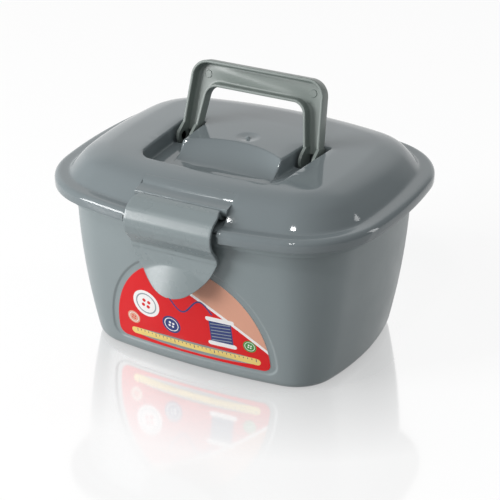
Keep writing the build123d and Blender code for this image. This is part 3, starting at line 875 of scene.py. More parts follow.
def archLoop(margin, step=1.3):
    # The pocket's arch seen from the front: half an ellipse on rounded bottom corners, moved in by a margin.
    half, rise = pocketSizes["half"] - margin, pocketSizes["height"] - margin
    spring = pocketSizes["springZ"]
    corner = spring - pocketSizes["bottomZ"] - margin * 0.5
    steps = round(math.pi * (half + rise) / 2 / step)
    arch = [(half * math.cos(math.pi * k / steps), spring + rise * math.sin(math.pi * k / steps))
            for k in range(steps + 1)]
    left = arcPoints((-half + corner, spring), corner, 180, 90, 10)[1:]
    right = arcPoints((half - corner, spring), corner, 270, 90, 10)[:-1]
    return arch + left + divided([left[-1], right[0]], step)[1:-1] + right


pocketPath = archLoop(0)


def frontWall(x, z, drop):
    # y of the body's front wall, sunk by a distance.
    return np.array([bodyOutline(zi).frontAt(xi) for xi, zi in zip(x, z)]) + drop


def pocketWall(x, z):
    into = depthInside(x, z, pocketPath) + pocketSizes["softFrom"]
    share = np.clip(into / pocketSizes["softWidth"], 0, 1)
    return frontWall(x, z, pocketSizes["depth"] * share * share * (3 - 2 * share))


def frontPanel(rowHeights):
    # The front wall with the label's pocket.
    sketch = PlanSketch()
    for z in (panelSizes["low"], panelSizes["high"]):
        sketch.chain([(x, z) for x in frontColumns])
    for x in (-panelSizes["half"], panelSizes["half"]):
        sketch.chain([(x, z) for z in rowHeights])
    for margin in panelSizes["edges"]:
        sketch.chain(archLoop(margin), True)
    places = np.array(grid(*panelSizes["grid"]))
    sketch.dots(places[segmentDistance(places[:, 0], places[:, 1], archLoop(0, 4)) > panelSizes["clearance"]])
    verts, faces = triangulated(sketch, lambda x, z: np.full(x.shape, True), pocketWall)
    return [(x, y, z) for x, z, y in verts], faces


def hingeBars():
    # Two ears on each side of the back, with a bar between them.
    centre = (hingeSizes["y"], hingeSizes["z"])
    offset, half, x = hingeSizes["earOffset"], hingeSizes["ear"] / 2, hingeSizes["x"]
    root = [(y, z) for y in hingeSizes["earRoot"] for z in (hingeSizes["earTop"], hingeSizes["earFoot"])]
    ear = prism("ear", convexHull(arcPoints(centre, hingeSizes["earRadius"], 0, 350, 35) + root), -half, half)
    pin = prism("pin", arcPoints(centre, hingeSizes["pin"], 0, 345, 23), -offset, offset)
    pair = inRow(ear, 2, 2 * offset, tubPlastic)
    return [inRow(piece, 2, 2 * x, tubPlastic) for piece in (pair, pin)]


def neckRows():
    # Up the outside of the neck, round its flange, and down the inside to the ledge.
    inset, low, high, lip = (neckSizes[name] for name in ("inset", "flangeLow", "flangeHigh", "flangeInset"))
    shoulder, top, ledge = bodySizes["shoulder"], neckSizes["top"], neckSizes["ledge"]
    inner = inset + neckSizes["wall"]
    outside = (
        (inset, shoulder + 0.01), (inset, shoulder + 0.4), (inset, low - 0.2), (inset - 0.1, low),
        (lip + 0.2, low), (lip, low + 0.25), (lip, high - 0.25), (lip + 0.2, high), (inset, high),
        (inset, high + 0.2), (inset, top - 0.3), (inset + 0.3, top))
    inside = ((inner - 0.3, top), (inner, top - 0.3), (inner, ledge + 0.3), (inner + 0.2, ledge))
    return [tubRow(rim.inset(i), z, True) for i, z in outside] + [tubRow(rim.inset(i), z) for i, z in inside]


def tubRings(rowHeights):
    # From the rolled base up the outside, over the neck, and down the inside to the floor.
    base, soft, shoulder = bodySizes["baseRound"], bodySizes["shoulderRound"], bodySizes["shoulder"]
    foot = [(base * (1 - math.cos(a)), base * (1 - math.sin(a))) for a in quarter(7)]
    sides = [(z, 0) for z in [*rowHeights, 102.5, shoulder - soft]]
    outer = [tubRow(bodyOutline(z, inset), z) for z, inset in foot + sides]
    for a in quarter(4)[1:]:
        z = shoulder - soft * (1 - math.sin(a))
        outer.append(tubRow(bodyOutline(shoulder, soft * (1 - math.cos(a))), z))
    wall, ledge = bodySizes["wall"], neckSizes["ledge"]
    # heights, and how much thicker than elsewhere the wall is there
    inside = (
        (ledge, 0.4), (ledge - 0.3, 0.1), (ledge - 1, 0), (80, 0), (50, 0), (25, 0), (9, 0), (5, 0.6),
        (3.2, 2.0), (bodySizes["floor"], 4.5))
    inner = [tubRow(bodyOutline(z, wall + extra), z) for z, extra in inside]
    return outer + neckRows() + inner, len(foot)


def makeTub():
    rowHeights = list(np.linspace(panelSizes["low"], panelSizes["high"], panelSizes["rows"]))
    rings, panelRow = tubRings(rowHeights)
    around = len(rings[0])
    verts = [vert for ring in rings for vert in ring]
    faces = []
    for index, face in enumerate(loftFaces(len(rings), around)):
        row, column = divmod(index, around)
        inPanel = panelRow <= row < panelRow + len(rowHeights) - 1 and column < len(frontColumns) - 1
        if not inPanel:
            faces.append(face)
    panelVerts, panelFaces = frontPanel(rowHeights)
    faces += [tuple(i + len(verts) for i in f) for f in panelFaces]
    shell = solid("tub_shell", verts + panelVerts, faces, 42, 5e-6)
    return dress(joined("tubShell", [shell] + hingeBars()), tubPlastic)


tubShell = makeTub()
handIn(tubShell, "case", "tub")


# Latch: one moulded strip that hooks round the bar, runs down over the rim and ends in a thumb tab

latchSizes = {
    "half": 31.5, "hookHalf": 29.6, "widenFrom": -88.0, "widenOver": 6.0, "thickness": 2.2, "edge": 0.5,
    "hookRadius": 7.2, "hookStart": 185.0, "hookSweep": 165.0,
    "path": ((-91.0, 126.6), (-98.8, 122.6), (-102.1, 116.4), (-101.9, 111.6), (-100.5, 107.0), (-93.5, 97.8),
             (-93.5, 62.0)),
    "rounds": (6.0, 6.0, 5.0, 6.0, 3.0, 4.0), "sideZ": 94.5, "cheekHalf": 26.0, "cheekZ": 84.0,
    "knuckleHalf": 14.5, "knuckleZ": 72.0, "tipZ": 67.0, "creaseTop": 87.3, "creaseFall": 6.5,
    "creaseHalf": 21.5, "flare": 7.5, "creaseSoft": 0.5, "rows": 44, "columns": 48,
    "nib": ((-99.0, 105.5), (-96.6, 105.7), (-96.3, 104.9), (-96.9, 102.0)), "nibHalf": 30.0,
}
# Out of a finely blasted mould: the lid's plastic, a little paler, with blurred reflections.
latchLook = dict(lidLook, dark="#7e888a", light="#858f91", rough=(0.24, 0.32))
latchPlastic = mouldedPlastic("semiGlossPolypropyleneLatch", latchLook)


def tabHalf(z):
    # Half the tab's width at a height: two cheeks and a round tip.
    side = (latchSizes["half"], latchSizes["sideZ"])
    cheek = (latchSizes["cheekHalf"], latchSizes["cheekZ"])
    knuckle = (latchSizes["knuckleHalf"], latchSizes["knuckleZ"])
    tip = (0.0, latchSizes["tipZ"])
    if z >= side[1]:
        return side[0]
    if z >= knuckle[1]:
        (x, y), radius = circleThrough(side, cheek, knuckle)
        bulge = 1 if x < cheek[0] else -1
        return x + bulge * math.sqrt(max(radius**2 - (z - y)**2, 0))
    (x, y), radius = circleThrough((-knuckle[0], knuckle[1]), tip, knuckle)
    return math.sqrt(max(radius**2 - (z - y)**2, 0))


def tabEdge(z):
    # The direction that the tab's edge faces at a height, sideways and up.
    near, side = 0.02, latchSizes["sideZ"]
    slope = (tabHalf(min(z + near, side)) - tabHalf(z - near)) / (2 * near) if z < side else 0.0
    return 1 / math.hypot(1, slope), -slope / math.hypot(1, slope)


def tabFlare(x, z):
    # The tab leans out below an arched crease, as a rest for the thumb.
    crease = latchSizes["creaseTop"] - latchSizes["creaseFall"] * (x / latchSizes["creaseHalf"])**2
    below, soft = crease - z, latchSizes["creaseSoft"]
    eased = np.where(below > soft, below - soft / 2, np.maximum(below, 0)**2 / (2 * soft))
    return float(latchSizes["flare"] * eased / (latchSizes["creaseTop"] - latchSizes["tipZ"]))


def latchRing(y, z, out, half, facing):
    # One section across the strip with rounded edges: out is the way that its outside faces, and facing the
    # way of its right edge.
    edge, thick = latchSizes["edge"], latchSizes["thickness"] / 2
    rounds = []
    for k in range(9):
        turn = math.pi * k / 8
        flat = thick - edge if k < 5 else edge - thick
        rounds.append((edge * (1 - math.sin(turn)), flat + edge * math.cos(turn)))
    flatHalf = half - edge * facing[0]
    across = np.linspace(-flatHalf, flatHalf, latchSizes["columns"] + 1)[1:-1]
    points = [(x, edge, thick) for x in across]
    points += [(half - into * facing[0], into, off) for into, off in rounds]
    points += [(x, edge, -thick) for x in across[::-1]]
    points += [(into * facing[0] - half, into, off) for into, off in rounds[::-1]]
    return [(x, y + off * out[0], z + off * out[1] - into * facing[1]) for x, into, off in points]


def latchSpine():
    # The strip's middle seen from the side, from the hook's end down to the tip, and how much of it is bent.
    size = latchSizes
    centre = (barSizes["y"], barSizes["z"])
    hook = arcPoints(centre, size["hookRadius"], size["hookStart"], size["hookSweep"], 26)
    bent = hook[:0:-1] + roundedPath([hook[0], *size["path"]], size["rounds"], 0.625)
    flat, tip, span = size["path"][-1][0], size["tipZ"], size["sideZ"] - size["tipZ"]
    bent = [p for p in bent if p[1] > size["sideZ"] + 0.4 or p[0] > flat + 1]
    shares = [math.sin(math.pi / 2 * (1 - k / size["rows"]))**1.7 for k in range(size["rows"])]
    return bent + [(flat, tip + span * share) for share in shares] + [(flat, tip + 0.03)], len(bent)


def makeLatch():
    size = latchSizes
    spine, bent = latchSpine()
    rings = []
    for i, (y, z) in enumerate(spine):
        if i < bent:
            before, after = Vector(spine[max(i - 1, 0)]), Vector(spine[i + 1])
            along = (after - before).normalized()
            wide = np.clip((size["widenFrom"] - y) / size["widenOver"], 0, 1)
            half = size["hookHalf"] + (size["half"] - size["hookHalf"]) * wide * (2 - wide)
            rings.append(latchRing(y, z, (along.y, -along.x), half, (1.0, 0.0)))
        else:
            lean = (tabFlare(0, z - 0.1) - tabFlare(0, z + 0.1)) / 0.2
            ring = latchRing(y, z, Vector((-1.0, -lean)).normalized(), tabHalf(z), tabEdge(z))
            rings.append([(x, v - tabFlare(x, w), w) for x, v, w in ring])
    nib = prism("nib", size["nib"], -size["nibHalf"], size["nibHalf"])
    return dress(joined("latchStrip", [loft("latch_strip", rings, 60), nib]), latchPlastic)


latchStrip = makeLatch()
handIn(latchStrip, "latch", "latch")


# Handle: a channel open to the front, on two pairs of round eyes that turn on moulded trunnions

handleSizes = {
    "pivotY": 4.5, "pivotZ": 131.0, "lean": 15.0, "reach": 53.5, "grip": 17.0, "footHalf": 52.0,
    "topHalf": 49.0, "footWidth": 11.5, "topWidth": 13.4, "front": 0.6, "back": -8.4, "web": -6.0,
    "wall": 2.0, "draft": 0.3, "outerRound": 12.0, "innerRound": 8.0, "edge": 0.55, "backEdge": 1.1,
    "webRound": 1.6, "eye": 6.5, "trunnion": 3.0, "trunnionEnd": 57.2, "start": 4.0, "blend": 9.0,
    "markX": 39.5, "markDrop": 10.0, "markRadius": 2.75, "markRise": 0.45,
    # the web's bulge: its height, where its crest stands in the grip and falls to the right, and its spread
    "bulge": 1.9, "crest": 0.45, "crestFall": 0.35, "spreadUp": 0.34, "spreadAlong": 0.72,
}
handleMesh = {
    "margins": (0.0, 0.06, 0.2, 0.38, 0.55, 0.85, 1.1, 1.45, 1.7, 1.88, 2.0, 2.15, 2.3, 2.55, 2.9, 3.3, 3.9),
    "legRows": (6.0, 37.5, 2.2), "legMargin": 4.2, "legSlant": 0.075, "gripColumns": (-42, 43, 1.7),
    "gripMargin": 4.3,
    "marks": (2.4, 2.6, 2.78), "depthFoot": -8.0,
}
# Out of a satin mould, in a greyer green than the case.
handleLook = {
    "dark": "#757e7a", "light": "#7d8682", "flow": 30.0, "sheen": 12.0, "rough": (0.3, 0.4), "grain": 0.35,
    "grainStrength": 0.5, "grainDepth": 0.01, "sink": 14.0, "sinkDepth": 0.02,
}
handlePlastic = mouldedPlastic("satinPolypropyleneHandle", handleLook)


def handlePlace(u, v, t):
    # From the handle's own plane, along the pivot, up the legs and out of the front, to the case's frame.
    lean = math.radians(handleSizes["lean"])
    return (u, handleSizes["pivotY"] + v * math.sin(lean) - t * math.cos(lean),
            handleSizes["pivotZ"] + v * math.cos(lean) + t * math.sin(lean))


def handleLoop(margin, inner, foot=handleSizes["start"], step=1.3):
    # One edge of the channel's outline, from foot to foot and moved in by a margin.
    size = handleSizes
    if inner:
        low, high = size["footHalf"] - size["footWidth"] + margin, size["topHalf"] - size["topWidth"] + margin
        top, turn = size["reach"] - size["grip"] + margin, size["innerRound"] + margin
    else:
        low, high = size["footHalf"] - margin, size["topHalf"] - margin
        top, turn = size["reach"] - margin, size["outerRound"] - margin
    low += (low - high) / (top - size["start"]) * (size["start"] - foot)
    corners = [(low, foot), (high, top), (-high, top), (-low, foot)]
    return divided(roundedPath(corners, (turn, turn), 0.5), step)


def handleDepth(u, v):
    # Distance into the channel's outline from the nearer of its two long edges.
    edges = [handleLoop(0, inner, handleMesh["depthFoot"], 1.6) for inner in (False, True)]
    return np.minimum(*(segmentDistance(u, v, edge, False) for edge in edges))


def handleFront(u, v):
    # The channel's front: a rounded lip, a drafted wall, and a web with a bulge and two ejector marks.
    size = handleSizes
    depth = handleDepth(u, v)
    front, edge, wall, draft = size["front"], size["edge"], size["wall"], size["draft"]
    gripLow = size["reach"] - size["grip"]
    up, along = np.clip((v - gripLow) / size["grip"], 0, 1), u / size["topHalf"]
    crest = size["crest"] - size["crestFall"] * along
    bulge = np.exp(-((up - crest) / size["spreadUp"])**2) * np.exp(-(along / size["spreadAlong"])**6)
    mark = np.hypot(np.abs(u) - size["markX"], v - size["reach"] + size["markDrop"])
    stamp = size["markRise"] * np.clip((size["markRadius"] - mark) / 0.3, 0, 1)
    ground = size["web"] + np.where(v > gripLow, size["bulge"] * bulge, 0) + stamp
    lip = front
    for past in (edge - depth, depth - wall + edge):
        lip = lip - roundOver(np.clip(past, 0, edge), edge)
    soft, into = size["webRound"], depth - wall
    floor = ground + roundOver(np.clip(soft + draft - into, 0, soft), soft)
    face = (front - edge) + np.clip(into / draft, 0, 1) * (ground + soft - front + edge)
    return np.where(depth < wall, lip, np.where(into < draft, face, floor))


def handleBack(u, v):
    edge = handleSizes["backEdge"]
    return handleSizes["back"] + roundOver(np.clip(edge - handleDepth(u, v), 0, edge), edge)


def handleSketch():
    size, mesh = handleSizes, handleMesh
    sketch = PlanSketch()
    for margin in mesh["margins"]:
        for inner in (False, True):
            sketch.chain(handleLoop(margin, inner))
    outer, inner, start = size["footHalf"], size["footHalf"] - size["footWidth"], size["start"]
    for side in (-1, 1):
        sketch.chain([(side * u, start) for u in np.linspace(inner, outer, 14)])
        for v in np.arange(*mesh["legRows"]):
            across = np.linspace(inner + mesh["legMargin"], outer - mesh["legMargin"], 3)
            sketch.dots((side * u, v) for u in across - (v - start) * mesh["legSlant"])
    low, high = size["reach"] - size["grip"] + mesh["gripMargin"], size["reach"] - mesh["gripMargin"]
    for u in np.arange(*mesh["gripColumns"]):
        sketch.dots((u, v) for v in np.linspace(low, high, 8))
    for side in (-1, 1):
        for radius in mesh["marks"]:
            centre = (side * size["markX"], size["reach"] - size["markDrop"])
            sketch.chain(arcPoints(centre, radius, 0, 345, 23), True)
    return sketch


def handlePivots():
    # An eye on each of the channel's walls at both feet, and the trunnions.
    size = handleSizes
    foot = [(t, v) for t in (size["front"], size["back"]) for v in (size["start"], size["blend"])]
    eye = convexHull(arcPoints((0, 0), size["eye"], 0, 350, 44) + foot)
    profile = [handlePlace(0, v, t)[1:] for t, v in eye]
    wall, outer = size["wall"], size["footHalf"]
    inner = outer - size["footWidth"]
    pin = arcPoints((size["pivotY"], size["pivotZ"]), size["trunnion"], 0, 345, 23)
    parts = []
    for side in (-1, 1):
        for low in (inner, outer - wall):
            parts.append(prism("eye", profile, *sorted((side * low, side * (low + wall)))))
            bySharpness(parts[-1], 40)
        parts.append(prism("trunnion", pin, *sorted((side * (outer - wall), side * size["trunnionEnd"]))))
    return parts


def makeHandle():
    edge = handleLoop(0, False) + handleLoop(0, True)[::-1]
    plan, faces = triangulated(handleSketch(), lambda u, v: insideLoop(u, v, edge), handleFront)
    front = [handlePlace(*row) for row in plan]
    back = [handlePlace(u, v, t) for (u, v, _), t in zip(plan, handleBack(plan[:, 0], plan[:, 1]))]
    channel = slab("handle_channel", front, back, faces, 45)
    return dress(joined("handleBail", [channel] + handlePivots()), handlePlastic)


handleBail = makeHandle()
handIn(handleBail, "handle", "handle")


# Label: a printed film of the builder's own design on the pocket's floor

labelSizes = {"margin": 4.5, "depth": 0.62, "thickness": 0.22, "roughness": 0.42, "screen": 0.4, "step": 3.0}
labelInks = {"red": "#d3040f", "peach": "#d9a088", "white": "#eeeceb", "navy": "#26346e", "steel": "#8b959b",
             "green": "#3c8a3c", "tape": "#e9cf7a"}
labelPrint = {
    # the line between the two fields falls from its left end to its right one
    "lineLeft": -40.0, "lineRight": 62.0, "lineTop": 80.0, "lineFall": 56.0, "lineBend": 1.5,
    "lineWidth": 2.6, "spool": (25.0, 37.0), "spoolHalf": 8.0, "spoolTall": 8.5, "turns": 6, "turnStep": 2.6,
    "tape": (2.0, 18.6), "tapeLength": 98.0, "tapeWidth": 5.4, "ticks": 31, "tickStep": 3.0,
}


def dot(x, z, radius, steps=28):
    return arcPoints((x, z), radius, 0, 360 - 360 / steps, steps - 1)


def pill(x, z, width, height, turn=0.0):
    # A round-ended bar, turned by degrees.
    half, radius = width / 2, height / 2
    right = arcPoints((half - radius, 0), radius, -90, 180, 8)
    left = arcPoints((-half + radius, 0), radius, 90, 180, 8)
    c, s = math.cos(math.radians(turn)), math.sin(math.radians(turn))
    return [(x + u * c - v * s, z + u * s + v * c) for u, v in right + left]


def ribbon(path, width):
    # A closed strip along a path.
    path = np.array(path)
    along = np.gradient(path, axis=0)
    along /= np.hypot(along[:, 0], along[:, 1])[:, None]
    side = np.column_stack([-along[:, 1], along[:, 0]]) * width / 2
    return [tuple(p) for p in path + side] + [tuple(p) for p in (path - side)[::-1]]


def fieldLine(shift):
    # The curved line between the label's two fields, moved up by a distance.
    left, right, top = labelPrint["lineLeft"], labelPrint["lineRight"], labelPrint["lineTop"] + shift
    return [(x, top - labelPrint["lineFall"] * ((x - left) / (right - left))**labelPrint["lineBend"])
            for x in np.linspace(left, right, 50)]


def button(x, z, radius, ink, ring, holes):
    # A four-hole button: a disc with a turned ring and its holes.
    shapes = [(ink, dot(x, z, radius)), (ring, dot(x, z, radius * 0.78)), (ink, dot(x, z, radius * 0.69))]
    for turn in (30, 120, 210, 300):
        a = math.radians(turn)
        place = (x + radius * 0.26 * math.cos(a), z + radius * 0.26 * math.sin(a))
        shapes.append((holes, dot(*place, radius * 0.13, 12)))
    return shapes


def spool():
    x, z = labelPrint["spool"]
    half, tall = labelPrint["spoolHalf"], labelPrint["spoolTall"]
    core = [(x - half, z - tall), (x + half, z - tall), (x + half, z + tall), (x - half, z + tall)]
    shapes = [("navy", core)]
    for k in range(labelPrint["turns"]):
        height = z + labelPrint["turnStep"] * (k - labelPrint["turns"] / 2 + 0.5)
        shapes.append(("steel", pill(x, height, 2 * half - 1.4, 0.7, 5)))
    return shapes + [("white", pill(x, z + end * (tall + 1.3), 2 * half + 4.5, 3.4)) for end in (-1, 1)]


def tapeMeasure():
    x, z = labelPrint["tape"]
    shapes = [("tape", pill(x, z, labelPrint["tapeLength"], labelPrint["tapeWidth"]))]
    for k in range(labelPrint["ticks"]):
        tall = 2.6 if k % 5 == 0 else 1.4
        shapes.append(("navy", pill(-42 + labelPrint["tickStep"] * k, z + 2.5 - tall / 2, tall, 0.5, 90)))
    return shapes


def labelShapes():
    # Print shapes from the lowest to the topmost, each with its ink and its outline.
    left, right, width = labelPrint["lineLeft"], labelPrint["lineRight"], labelPrint["lineWidth"]
    shapes = [("peach", fieldLine(0) + [(right, 95), (left, 95)]),
              ("white", fieldLine(-width / 2) + fieldLine(width / 2)[::-1])]
    shapes += button(-31, 45, 10.5, "white", "steel", "red")
    shapes += button(-12.5, 33.5, 7.0, "navy", "white", "white")
    shapes += button(-43.5, 30, 5.0, "peach", "white", "red")
    thread = [(20 - 34 * t, 50 + 7 * math.sin(t * 2.2 * math.pi) + 6 * t) for t in np.linspace(0, 1, 46)]
    shapes.append(("navy", ribbon(thread, 1.2)))
    return shapes + spool() + button(44.5, 30.5, 4.6, "green", "white", "white") + tapeMeasure()


def printedFilm(ink):
    # Printed polypropylene film: flat ink with a soft sheen and the fine unevenness of a printing screen.
    material, tree = newMaterial("printedFilm" + ink.capitalize())
    place = addNode(tree, "ShaderNodeTexCoord").outputs["Object"]
    screen = addNode(tree, "ShaderNodeTexNoise", {
        "Scale": perMillimetre(labelSizes["screen"]), "Detail": 1.0}, {"Vector": place})
    base = linear(labelInks[ink])
    worn = tuple(min(1.0, c * 1.08 + 0.004) for c in base[:3]) + (1.0,)
    colour = addNode(tree, "ShaderNodeMix", {"A": base, "B": worn}, {"Factor": screen.outputs["Fac"]},
                     data_type="RGBA")
    surface = addNode(tree, "ShaderNodeBsdfPrincipled", {"Roughness": labelSizes["roughness"], "IOR": 1.4},
                      {"Base Color": colour.outputs["Result"]})
    addNode(tree, "ShaderNodeOutputMaterial", None, {"Surface": surface.outputs["BSDF"]})
    return material


def labelSketch(shapes, edge):
    sketch = PlanSketch()
    sketch.chain(edge, True)
    for _, outline in shapes:
        x, z = zip(*outline)
        sketch.chain(outline, True, depthInside(x, z, edge) > 0.05)
    places = np.array(grid(-56, 57, 14, 83, labelSizes["step"], labelSizes["step"]))
    within = insideLoop(places[:, 0], places[:, 1], archLoop(labelSizes["margin"] + 1.2, 3))
    sketch.dots(places[within])
    return sketch


def makeLabel():
    shapes = labelShapes()
    edge = archLoop(labelSizes["margin"], 1.0)
    verts, faces = triangulated(labelSketch(shapes, edge), lambda x, z: insideLoop(x, z, edge),
                                lambda x, z: frontWall(x, z, labelSizes["depth"]))
    centres = verts[np.array(faces)].mean(axis=1)
    inkNames = list(labelInks)
    inks = np.zeros(len(faces), int)
    for ink, outline in shapes:
        inks[insideLoop(centres[:, 0], centres[:, 1], outline)] = inkNames.index(ink)
    front = [(x, y, z) for x, z, y in verts]
    back = [(x, y + labelSizes["thickness"], z) for x, y, z in front]
    film = slab("labelFilm", front, back, faces, 40, 0)
    dress(film, *[printedFilm(ink) for ink in inkNames])
    for polygon in film.data.polygons:
        onFront = polygon.index < len(faces)
        polygon.material_index = int(inks[polygon.index]) if onFront else inkNames.index("white")
    return film


labelFilm = makeLabel()
handIn(labelFilm, "case", "label")


# Tray: a dish with crossing dividers, hung from the ledge inside the neck by a lip at each end

traySizes = {
    "inset": 3.6, "wall": 1.8, "top": 109.1, "rim": 107.5, "bottom": 73.1, "lipInset": 10.8, "lipHalf": 42.0,
    "lipRound": 8.0, "divider": 1.8, "dividerTop": 103.1, "crossX": 34.0, "gripHalf": 30.0, "gripTop": 113.1,
    "gripRound": 4.0, "slotWidth": 46.0, "slotHeight": 13.0, "slotZ": 96.1, "round": 3.0, "soft": 0.5,
    "rows": (84.0, 96.0, 104.0),
}
# The tub's plastic, a little paler.
trayPlastic = mouldedPlastic("satinPolypropyleneTray", dict(tubLook, dark="#8b9496", light="#949da0"))


def divider(name, reach, place, top=(), slots=()):
    # An upright plate from wall to wall. reach gives half its length from the wall's outline, and top is its
    # raised middle.
    size = traySizes
    inner = size["inset"] + size["wall"] / 2
    heights = np.linspace(size["bottom"] + 0.9, size["dividerTop"], 6)
    half = [(reach(bodyOutline(z, inner)), z) for z in heights]
    half += top
    loops = [divided(half + [(-u, z) for u, z in reversed(half)], 3.0, True), *slots]
    sketch = PlanSketch()
    for loop in loops:
        sketch.chain(loop, True)
    verts, faces = triangulated(
        sketch, lambda u, z: np.logical_xor.reduce([insideLoop(u, z, loop) for loop in loops]),
        lambda u, z: np.zeros(u.shape))
    plate = newObject(name, [place(u, z) for u, z, _ in verts], faces)
    clean(plate)
    solidify = plate.modifiers.new("thickness", "SOLIDIFY")
    solidify.thickness = size["divider"] * mm
    solidify.offset = 0
    return easeEdges(plate, 0.35)


def trayDividers():
    # One along the middle, with a grip and its slot, and two across it.
    size = traySizes
    half, top, turn = size["gripHalf"], size["gripTop"], size["gripRound"]
    grip = [(half, size["dividerTop"])] + arcPoints((half - turn, top - turn), turn, 0, 90, 6)
    slot = pill(0, size["slotZ"], size["slotWidth"], size["slotHeight"])
    long = divider("divider_long", lambda outline: outline.halfX, lambda x, z: (x, 0, z), grip, [slot])
    cross = divider("divider_cross", lambda outline: -outline.frontAt(size["crossX"]), lambda y, z: (0, y, z))
    return [long, inRow(cross, 2, 2 * size["crossX"], trayPlastic)]


def trayLip(side):
    # One end's lip, from inside the wall out to the neck, with rounded corners.
    size = traySizes
    outer, wall = rim.inset(size["lipInset"]), bodyOutline(size["rim"], size["inset"] + size["wall"] / 2)
    half, turn = size["lipHalf"], size["lipRound"]
    rows = []
    for y in half * np.sin(np.linspace(-math.pi / 2, math.pi / 2, 61)):
        over = max(abs(y) - half + turn, 0)
        corner = outer.halfX - turn + math.sqrt(turn**2 - over**2)
        rows.append((side * min(outer.sideAt(y), corner), y))
    rows += [(side * wall.sideAt(y), y) for y in np.linspace(half, -half, 31)]
    return easeEdges(prism("tray_lip", rows, size["rim"], size["top"], "z"), 0.4)


def trayDish():
    # Round the bottom, up the outside, over the rim and down the inside.
    bottom, top, turn, soft = (traySizes[name] for name in ("bottom", "top", "round", "soft"))
    outer, inner = traySizes["inset"], traySizes["inset"] + traySizes["wall"]
    floor = bottom + traySizes["wall"]
    rows = [(bottom + turn * (1 - math.cos(a)), outer + turn * (1 - math.sin(a))) for a in quarter(5)]
    rows += [(z, outer) for z in (*traySizes["rows"], top - soft)]
    rows += [(top - soft * (1 - math.sin(a)), outer + soft * (1 - math.cos(a))) for a in quarter(4)[1:]]
    rows += [(top - soft * (1 - math.cos(a)), inner - soft * (1 - math.sin(a))) for a in quarter(4)]
    rows += [(z, inner) for z in traySizes["rows"][::-1]]
    rows += [(floor + 2, inner), (floor + 0.7, inner + 0.6), (floor, inner + 2.2)]
    return loft("tray_dish", [tubRow(bodyOutline(z, inset), z) for z, inset in rows], 45)


trayParts = [trayDish(), trayLip(-1), trayLip(1)] + trayDividers()
trayInsert = dress(joined("trayInsert", trayParts), trayPlastic)
handIn(trayInsert, "tray", "tray")


# Camera, fitted to the photograph's rim, walls and handle

cameraFit = {
    "azimuth": 28.5, "elevation": 26.2, "distance": 1177.0, "right": 3.3, "up": 51.3,
    "focal": 1678.0, "photo": 500.0,  # pixels
    "sensor": 36.0,
}


def makeCamera(fit):
    azimuth, elevation = math.radians(fit["azimuth"]), math.radians(fit["elevation"])
    back = Vector((math.sin(azimuth) * math.cos(elevation), -math.cos(azimuth) * math.cos(elevation),
                   math.sin(elevation)))
    right = Vector((math.cos(azimuth), math.sin(azimuth), 0))
    up = back.cross(right)
    data = bpy.data.cameras.new("camera")
    data.sensor_width = fit["sensor"]
    data.lens = fit["focal"] / fit["photo"] * fit["sensor"]
    data.clip_start, data.clip_end = 0.05, 50
    camera = bpy.data.objects.new("camera", data)
    camera.location = (back * fit["distance"] + right * fit["right"] + up * fit["up"]) * mm
    camera.rotation_euler = back.to_track_quat("Z", "Y").to_euler()
    bpy.context.scene.collection.objects.link(camera)
    bpy.context.scene.camera = camera


makeCamera(cameraFit)
print("camera placed")


# Studio: a pale glossy floor, a room that is white to the camera and grey to everything else, and five lamps

studio = {
    "floorHalf": 4000.0, "floorSink": 0.05, "floorLit": "#9fa2a4", "floorGlow": 0.82, "floorMatt": "#7c7c7c",
    "floorRough": 0.08, "gloss": (0.44, 0.07), "glossFrom": 72.0, "glossTo": 165.0,
    "glossSquash": (0.78, 1.0, 0.0),  # the case is wider than deep, so its glossy patch is too
    "dim": 0.18, "bright": 0.6, "brightFrom": (-0.75, -0.35, 0.56), "brightSpread": (-0.8, 1.0),
    "backdrop": (-0.477, 0.879, 0.0), "backdropEdge": (0.55, 0.82), "backdropGlow": 1.0,
}
# place and aim in metres, width and height in metres, power in watts
lamps = {
    "keyLeft": ((-1.35, -1.45, 0.62), (0, 0, 0.08), (0.9, 0.8), 34),
    "rimRight": ((1.3, 0.9, 0.5), (0, 0, 0.08), (0.3, 0.9), 4),
    "windowLeft": ((-0.36, -0.86, 1.09), (0, 0, 0.13), (0.07, 0.045), 0.8),
    "stripLeft": ((-0.55, -0.75, 1.04), (0, 0, 0.13), (0.35, 0.05), 0.5),
    "windowRight": ((0.26, -0.83, 1.17), (0, 0, 0.13), (0.12, 0.05), 1.4),
}


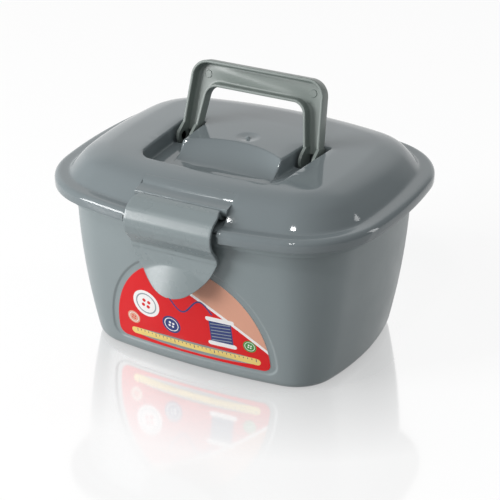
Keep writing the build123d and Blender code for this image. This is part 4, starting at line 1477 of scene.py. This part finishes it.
def makeFloor():
    # Polished white board. To the camera and in mirrors it is part glow, part matt and, near the case, part
    # gloss. Other rays meet plain grey.
    half = studio["floorHalf"]
    corners = [(-half, -half, 0), (half, -half, 0), (half, half, 0), (-half, half, 0)]
    floor = newObject("floor", corners, [(0, 1, 2, 3)])
    floor.location.z = -studio["floorSink"] * mm
    material, tree = newMaterial("glossyWhiteFloor")
    rays = addNode(tree, "ShaderNodeLightPath").outputs
    seen = addNode(tree, "ShaderNodeMath", None, {0: rays["Is Camera Ray"], 1: rays["Is Glossy Ray"]},
                   operation="MAXIMUM")
    place = addNode(tree, "ShaderNodeTexCoord").outputs["Object"]
    squashed = addNode(tree, "ShaderNodeVectorMath", {1: studio["glossSquash"]}, {0: place},
                       operation="MULTIPLY")
    away = addNode(tree, "ShaderNodeVectorMath", None, {0: squashed.outputs["Vector"]}, operation="LENGTH")
    share = addNode(tree, "ShaderNodeMapRange", {
        "From Min": studio["glossFrom"] * mm, "From Max": studio["glossTo"] * mm,
        "To Min": studio["gloss"][0], "To Max": studio["gloss"][1]}, {"Value": away.outputs["Value"]})
    white = linear("#ffffff")
    matt = addNode(tree, "ShaderNodeBsdfDiffuse", {"Color": linear(studio["floorMatt"])})
    glow = addNode(tree, "ShaderNodeEmission", {"Color": white, "Strength": studio["floorGlow"]})
    pale = addNode(tree, "ShaderNodeAddShader", None, {0: matt.outputs["BSDF"], 1: glow.outputs["Emission"]})
    gloss = addNode(tree, "ShaderNodeBsdfGlossy", {"Color": white, "Roughness": studio["floorRough"]})
    shown = addNode(tree, "ShaderNodeMixShader", None, {
        "Fac": share.outputs["Result"], 1: pale.outputs["Shader"], 2: gloss.outputs["BSDF"]})
    lit = addNode(tree, "ShaderNodeBsdfDiffuse", {"Color": linear(studio["floorLit"])})
    mixed = addNode(tree, "ShaderNodeMixShader", None, {
        "Fac": seen.outputs["Value"], 1: lit.outputs["BSDF"], 2: shown.outputs["Shader"]})
    addNode(tree, "ShaderNodeOutputMaterial", None, {"Surface": mixed.outputs["Shader"]})
    dress(floor, material)


def makeWorld():
    # A dim room that is brighter to the upper left, with a pale backdrop, and plain white to the camera.
    world = bpy.data.worlds.new("studio")
    bpy.context.scene.world = world
    world.use_nodes = True
    tree = world.node_tree
    tree.nodes.clear()
    rays = addNode(tree, "ShaderNodeLightPath").outputs
    place = addNode(tree, "ShaderNodeTexCoord").outputs["Generated"]
    toward, behind = (addNode(tree, "ShaderNodeVectorMath", {1: studio[way]}, {0: place},
                              operation="DOT_PRODUCT") for way in ("brightFrom", "backdrop"))
    away, full = studio["brightSpread"]
    level = addNode(tree, "ShaderNodeMapRange", {
        "From Min": away, "From Max": full, "To Min": studio["dim"], "To Max": studio["bright"]},
        {"Value": toward.outputs["Value"]})
    near, far = studio["backdropEdge"]
    wall = addNode(tree, "ShaderNodeMapRange", {"From Min": near, "From Max": far},
                   {"Value": behind.outputs["Value"]}, interpolation_type="SMOOTHSTEP")
    strength = addNode(tree, "ShaderNodeMix", {3: studio["backdropGlow"]},
                       {"Factor": wall.outputs["Result"], 2: level.outputs["Result"]}, data_type="FLOAT")
    white = linear("#ffffff")
    room = addNode(tree, "ShaderNodeBackground", {"Color": white}, {"Strength": strength.outputs[0]})
    plain = addNode(tree, "ShaderNodeBackground", {"Color": white, "Strength": 1.0})
    mixed = addNode(tree, "ShaderNodeMixShader", None, {
        "Fac": rays["Is Camera Ray"], 1: room.outputs["Background"], 2: plain.outputs["Background"]})
    addNode(tree, "ShaderNodeOutputWorld", None, {"Surface": mixed.outputs["Shader"]})


def areaLamp(name, place, aim, size, power):
    data = bpy.data.lights.new(name, "AREA")
    data.shape = "RECTANGLE"
    data.size, data.size_y = size
    data.energy = power
    light = bpy.data.objects.new(name, data)
    light.location = place
    light.rotation_euler = (Vector(place) - Vector(aim)).to_track_quat("Z", "Y").to_euler()
    bpy.context.scene.collection.objects.link(light)


makeFloor()
makeWorld()
for lampName, lamp in lamps.items():
    areaLamp(lampName, *lamp)
bpy.context.scene.view_settings.view_transform = "Standard"
print("studio lit")
